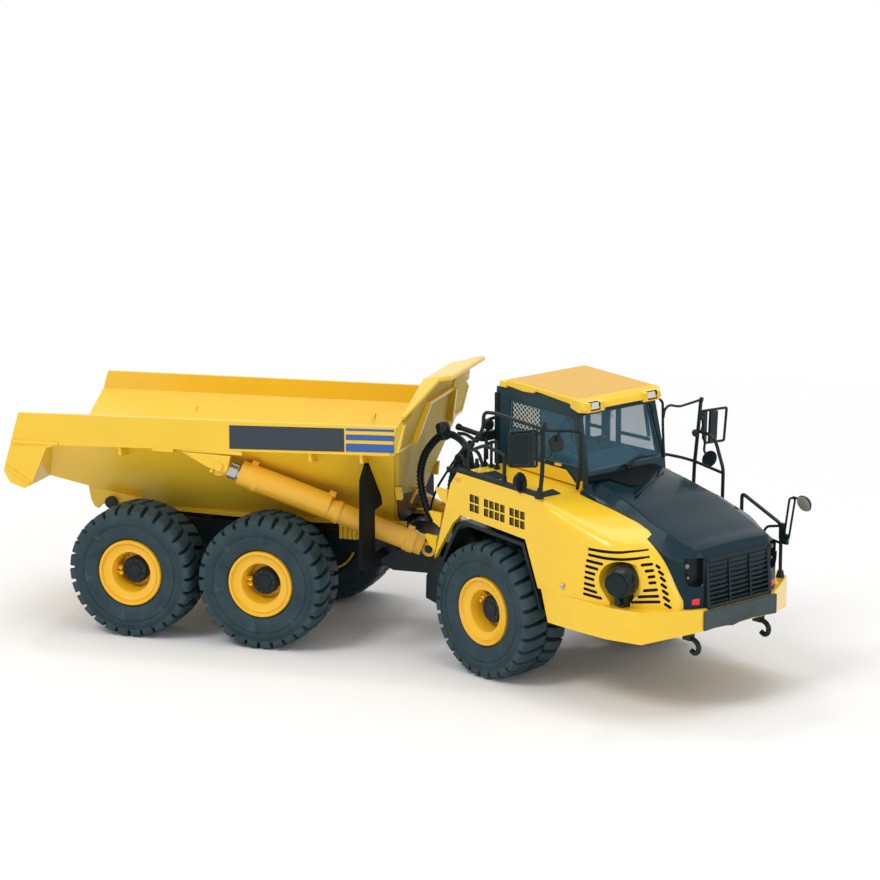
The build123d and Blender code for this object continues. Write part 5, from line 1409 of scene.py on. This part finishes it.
def make_tipper(sizes):
    for node in ("body_side_left", "body_side_right", "body_floor"):
        soften(node, sizes.edge / MM)
    # The front wall gets a darker, greyer copy of the tipper enamel: painted shade and a painted grey reflection.
    soften("body_front_wall", sizes.edge / MM, "front_wall")
    make_hood()
    make_brackets()
    tabs = Shape()
    for x in GUSSETS:
        half, _, bottom, _, _ = tipper_at(x)
        tabs.prism([(half - 0.6, bottom + 0.2), (half - 5.0, bottom + 0.2), (half - 6.6, bottom - 3.6),
                    (half - 1.2, bottom - 2.6)],
                   "yz", x - 0.5, x + 0.5)
    for x0, x1 in UNDER_TABS:
        half, _, bottom, _, _ = tipper_at((x0 + x1) / 2)
        tabs.box((x0, half - 2.6, bottom - 0.9), (x1, half - 0.1, bottom + 0.2))
    floor_half = tipper_at(35.1)[3]
    tabs.prism([(floor_half + 8.0, 42.0), (floor_half + 9.4, 41.6), (floor_half + 10.6, 45.6),
                (floor_half + 9.6, 45.4)],
               "yz", 34.2, 36.0)
    for (x0, z0), (x1, z1), thick in (((-75.6, 53.4), (-61.6, 53.6), 1.0),
                                      ((-77.6, 45.9), (-70.4, 41.6), 0.9)):
        ends = [(x0, z0), (x1, z1), (x1, z1 + thick), (x0, z0 + thick)]
        tabs.loft([[(x, tipper_at(max(x, -73.6))[0] - 0.3 + d, z) for x, z in ends] for d in (0.0, 0.75)])
    tabs.mirrored()
    piece("rail_gussets", tabs, "body_yellow", body="dump_body", bevel=0.15)
    keel = Shape()
    keel.loft([[(x, 7.2, z), (x, 8.7, z), (x, 8.7, z + 1.4), (x, 7.2, z + 1.4)]
               for x, z in ((-37.6, 31.2), (-17.6, 30.9), (6.4, 31.1), (34.4, 32.0))])
    piece("floor_rails", keel.mirrored(), "body_yellow", body="dump_body", bevel=0.2)
    name_panel = rail_plate(Shape(), [(-10.0, 56.05), (23.6, 57.4), (23.6, 64.0), (-10.0, 62.75)]).mirrored()
    piece("rail_blank_panel", name_panel, "plate_grey", "navy", body="dump_body")
    stripes = Shape()
    for low, high in ((57.5, 59.8), (60.8, 62.35), (63.4, 64.05)):
        rail_plate(stripes, [(24.1, low), (38.0, low + 0.5), (38.0, high + 0.5), (24.1, high)])
    piece("rail_stripes", stripes.mirrored(), "plate_grey", "blue", body="dump_body")


def along_hoist(side, distance, up=0.0, out=0.0):
    """A point on the hoist's axis, so far from its foot, lifted or pushed outwards."""
    foot, top = Vector((43.5, 14.0, 28.0)), Vector((-13.5, 27.6, 50.0))
    along = (top - foot).normalized()
    across = along.cross(Vector((0, 0, 1))).normalized()
    place = foot + along * distance + across.cross(along).normalized() * up - across * out
    return Vector((place.x, place.y * SIDES[side], place.z))


def make_hoist(side):
    barrel = f"hoist_barrel_{side}"
    soften(barrel, 0.25, "hoist")
    soften(f"hoist_rod_{side}", 0.1)
    eye = Shape().rod(along_hoist(side, 60.2), along_hoist(side, 62.0), 1.95, 24)
    centre = along_hoist(side, 62.6)
    eye.rod(centre - Vector((0, 1.9, 0)), centre + Vector((0, 1.9, 0)), 2.2, 32)
    piece(f"hoist_eye_{side}", eye, "body_yellow", "hoist", body=f"hoist_rod_{side}", bevel=0.15)
    collars = Shape()
    collars.rod(along_hoist(side, 6.0), along_hoist(side, 7.5), 3.28, 32)
    collars.rod(along_hoist(side, 30.4, 0.4, 0.4), along_hoist(side, 57.2, 0.45, 0.45), 3.7, 40)
    for distance, up in ((5.8, 3.0), (29.8, 4.1), (53.0, 4.2)):
        collars.rod(along_hoist(side, distance, up, 0.3), along_hoist(side, distance + 2.0, up, 0.3), 1.15, 4)
    piece(f"hoist_collars_{side}", collars, "body_yellow", "hoist", body=barrel, bevel=0.15)
    nut = Shape().rod(along_hoist(side, 57.8, 0.8, 0.7), along_hoist(side, 60.4, 0.9, 0.7), 1.85, 6)
    nut.rod(along_hoist(side, 55.0, 0.8, 0.7), along_hoist(side, 57.8, 0.8, 0.7), 1.2, 20)
    for turn in (58.0, 59.0, 60.0):
        nut.rod(along_hoist(side, turn, 0.8, 2.0), along_hoist(side, turn + 0.5, 0.8, 2.0), 0.5, 10)
    piece(f"hoist_nut_{side}", nut, "steel", body=f"hoist_rod_{side}", bevel=0.15)


def make_guides():
    blocks = Shape()
    for x in (16.4, 17.8, 19.2, 20.6):
        blocks.box((x, 12.4, 28.5), (x + 0.9, 14.0, 32.6))
    blocks.box((16.2, 11.8, 28.4), (22.0, 13.0, 32.8))
    blocks.box((16.2, 7.8, 31.8), (22.0, 13.8, 32.9))
    piece("floor_guides", blocks.mirrored(), "body_yellow", body="dump_body", bevel=0.12)
    deck = Shape().box((25.0, -12.2, 25.6), (33.0, 12.2, 31.0))
    for low, high in ((9.4, 12.2), (-12.2, -9.4)):
        deck.box((26.0, low, 30.0), (33.0, high, 33.2))
    piece("frame_front_cover", deck, "chassis_black", body="rear_frame", bevel=0.3)


# ---------------------------------------------------------------- everything the solids already shape well
SOFTENED = {
    "rear_frame": 0.2, "hoist_crossbar": 0.2, "bogie_beams": 0.25, "rear_axle": 0.2, "middle_axle": 0.2,
    "hitch_yoke": 0.25, "front_frame": 0.2, "front_axle": 0.2, "engine_bay": 0.3,
    "wheel_arches": 0.25, "bumper": 0.9, "cab_sills": 0.2,
}


# ---------------------------------------------------------------- stage
CAMERA_TARGET = Vector((0.0063816, 0.0148125, 0.055793))
CAMERA_DISTANCE = 0.936706
CAMERA_AZIMUTH, CAMERA_ELEVATION = 18.4005, 12.7594
CAMERA_LENS = 136.0
PAPER_NEAR, PAPER_FAR = 0.16, 0.42                         # metres over which the paper turns to plain white
FLOOR_REACH = 4000
WORLD_LIGHT, WORLD_SEEN = 0.62, 1.0
# Lamps: name, place, what it looks at, size, power.
LAMPS = (("key_light", (-0.5, -0.9, 1.25), (0, 0, 0.03), 0.6, 8.0),
         ("fill_light", (1.1, -0.8, 0.55), (0, 0, 0.04), 0.6, 2.4),
         ("edge_light", (-0.42, 0.38, 1.1), (0.08, 0, 0.05), 0.12, 1.2),
         ("top_light", (0.1, 0.2, 1.4), (0, 0, 0), 0.9, 4.5))


def studio_white(name, base):
    """Matt pale paper that keeps the shadow near the truck and shows plain white further off."""
    paint = Paint(name, Roughness=0.9, Specular_IOR_Level=0.1)
    paint.feed("Base Color", paint.mix(paint.noise(700, 3), scaled(base, 0.995), base))
    reach = paint.node("ShaderNodeVectorMath", {"operation": "LENGTH"}, {0: paint.place()}, "Value")
    plain = paint.ramp(reach, PAPER_NEAR, PAPER_FAR) * paint.background_rays()
    glow = paint.node("ShaderNodeEmission", {}, {})
    blend = paint.node("ShaderNodeMixShader", {}, {0: plain, 1: paint.surface, 2: glow})
    paint.join(paint.output.inputs["Surface"], blend)
    return paint.material


def looking(name, data, place, target):
    """Adds a camera or a lamp that looks at a target."""
    made = bpy.data.objects.new(name, data)
    made.location = place
    made.rotation_mode = "QUATERNION"
    made.rotation_quaternion = (Vector(target) - Vector(place)).to_track_quat("-Z", "Y")
    bpy.context.scene.collection.objects.link(made)
    return made


def make_camera():
    a, e = math.radians(CAMERA_AZIMUTH), math.radians(CAMERA_ELEVATION)
    back = Vector((math.sin(a) * math.cos(e), -math.cos(a) * math.cos(e), math.sin(e)))
    data = bpy.data.cameras.new("camera")
    data.lens, data.sensor_width = CAMERA_LENS, 36.0
    data.clip_start, data.clip_end = 0.01, 20.0
    place = CAMERA_TARGET + back * CAMERA_DISTANCE
    bpy.context.scene.camera = looking("camera", data, place, CAMERA_TARGET)


def make_floor(colours):
    corners = ((-1, -1), (1, -1), (1, 1), (-1, 1))
    shape = Shape()
    shape.bm.faces.new([shape.bm.verts.new((x * FLOOR_REACH, y * FLOOR_REACH, 0)) for x, y in corners])
    mesh = shape.mesh("floor", REAR)
    mesh.materials.append(studio_white("studio_paper", tuple(colours.floor)))
    floor = bpy.data.objects.new("floor", mesh)
    bpy.context.scene.collection.objects.link(floor)


def make_world():
    """White surroundings that light the truck less than they show."""
    world = bpy.data.worlds.new("studio")
    world.use_nodes = True
    studio = Tree(world.node_tree)
    dim, bright = (studio.node("ShaderNodeBackground", {}, {"Color": (1, 1, 1), "Strength": strength})
                   for strength in (WORLD_LIGHT, WORLD_SEEN))
    blend = studio.node("ShaderNodeMixShader", {}, {0: studio.background_rays(), 1: dim, 2: bright})
    studio.node("ShaderNodeOutputWorld", {}, {"Surface": blend})
    bpy.context.scene.world = world


def make_stage(colours):
    make_floor(colours)
    make_world()
    for name, place, target, size, power in LAMPS:
        data = bpy.data.lights.new(name, "AREA")
        data.shape, data.size, data.energy = "DISK", size, power
        looking(name, data, place, target)
    bpy.context.scene.view_settings.view_transform = "Standard"


# ---------------------------------------------------------------- operators
class TRUCK_OT_stage(bpy.types.Operator):
    """Camera, lamps, floor and world"""
    bl_idname = "truck.stage"
    bl_label = "Stage"

    def execute(self, context):
        make_camera()
        make_stage(context.scene.truck_colours)
        return {"FINISHED"}


class TRUCK_OT_finishes(bpy.types.Operator):
    """Paints, plastics, rubber and glass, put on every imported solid"""
    bl_idname = "truck.finishes"
    bl_label = "Finishes"

    def execute(self, context):
        FINISH.update(make_finishes(context.scene.truck_colours))
        for name, solid in NODES.items():
            solid.data.materials.clear()
            solid.data.materials.append(FINISH[SLOTS[name]])
        return {"FINISHED"}


class TRUCK_OT_wheels(bpy.types.Operator):
    """Tyres with tread lugs, rims, hubs and bolts"""
    bl_idname = "truck.wheels"
    bl_label = "Wheels"

    def execute(self, context):
        for axle in AXLES:
            for side in SIDES:
                make_wheel(axle, side, context.scene.truck_sizes)
        return {"FINISHED"}


class TRUCK_OT_chassis(bpy.types.Operator):
    """Frames, axles, arches and bumper with rounded edges"""
    bl_idname = "truck.chassis"
    bl_label = "Chassis"

    def execute(self, context):
        for node, width in SOFTENED.items():
            soften(node, width)
        return {"FINISHED"}


class TRUCK_OT_tipper(bpy.types.Operator):
    """Dump body with its rail, gussets and blank panel"""
    bl_idname = "truck.tipper"
    bl_label = "Dump body"

    def execute(self, context):
        make_tipper(context.scene.truck_sizes)
        return {"FINISHED"}


class TRUCK_OT_fenders(bpy.types.Operator):
    """Right fender with its slots, vents and cover, and the stairway on the left"""
    bl_idname = "truck.fenders"
    bl_label = "Fenders"

    def execute(self, context):
        make_right_fender()
        make_side_cover()
        make_left_stairs()
        return {"FINISHED"}


class TRUCK_OT_bonnet(bpy.types.Operator):
    """Bonnet, grille, headlamps and bumper plate"""
    bl_idname = "truck.bonnet"
    bl_label = "Bonnet"

    def execute(self, context):
        make_bonnet()
        make_grille()
        make_bumper_plate()
        return {"FINISHED"}


class TRUCK_OT_cab(bpy.types.Operator):
    """Cab frame, glass, roof, lamps and interior"""
    bl_idname = "truck.cab"
    bl_label = "Cab"

    def execute(self, context):
        make_cab(context.scene.truck_sizes)
        make_interior()
        return {"FINISHED"}


class TRUCK_OT_rails(bpy.types.Operator):
    """Handrails and mirrors"""
    bl_idname = "truck.rails"
    bl_label = "Rails and mirrors"

    def execute(self, context):
        make_rails(context.scene.truck_sizes)
        make_mirrors(context.scene.truck_sizes)
        return {"FINISHED"}


class TRUCK_OT_deck(bpy.types.Operator):
    """Deck plates, hoses, hooks and small fittings"""
    bl_idname = "truck.deck"
    bl_label = "Deck fittings"

    def execute(self, context):
        make_deck()
        return {"FINISHED"}


class TRUCK_OT_hoists(bpy.types.Operator):
    """Hoist cylinders with collars, and the guides under the body"""
    bl_idname = "truck.hoists"
    bl_label = "Hoists"

    def execute(self, context):
        for side in SIDES:
            make_hoist(side)
        make_guides()
        soften("mudguard_plates", 0.15, "flap", "chassis_black")
        return {"FINISHED"}


MAKERS = (TRUCK_OT_stage, TRUCK_OT_finishes, TRUCK_OT_wheels, TRUCK_OT_chassis, TRUCK_OT_tipper,
          TRUCK_OT_fenders, TRUCK_OT_bonnet, TRUCK_OT_cab, TRUCK_OT_rails, TRUCK_OT_deck, TRUCK_OT_hoists)


class TRUCK_PT_parts(bpy.types.Panel):
    """Lists the truck's parts"""
    bl_idname = "TRUCK_PT_parts"
    bl_label = "Dump Truck"
    bl_space_type = "VIEW_3D"
    bl_region_type = "UI"
    bl_category = "Dump Truck"

    def draw(self, context):
        for maker in MAKERS:
            self.layout.operator(maker.bl_idname)


CLASSES = (TruckColours, TruckSizes, *MAKERS, TRUCK_PT_parts)


def register():
    for kind in CLASSES:
        bpy.utils.register_class(kind)
    bpy.types.Scene.truck_colours = PointerProperty(type=TruckColours)
    bpy.types.Scene.truck_sizes = PointerProperty(type=TruckSizes)


def unregister():
    del bpy.types.Scene.truck_colours
    del bpy.types.Scene.truck_sizes
    for kind in reversed(CLASSES):
        bpy.utils.unregister_class(kind)


def main():
    register()
    for maker in MAKERS:
        group, name = maker.bl_idname.split(".")
        getattr(getattr(bpy.ops, group), name)()


if __name__ == "__main__":
    main()
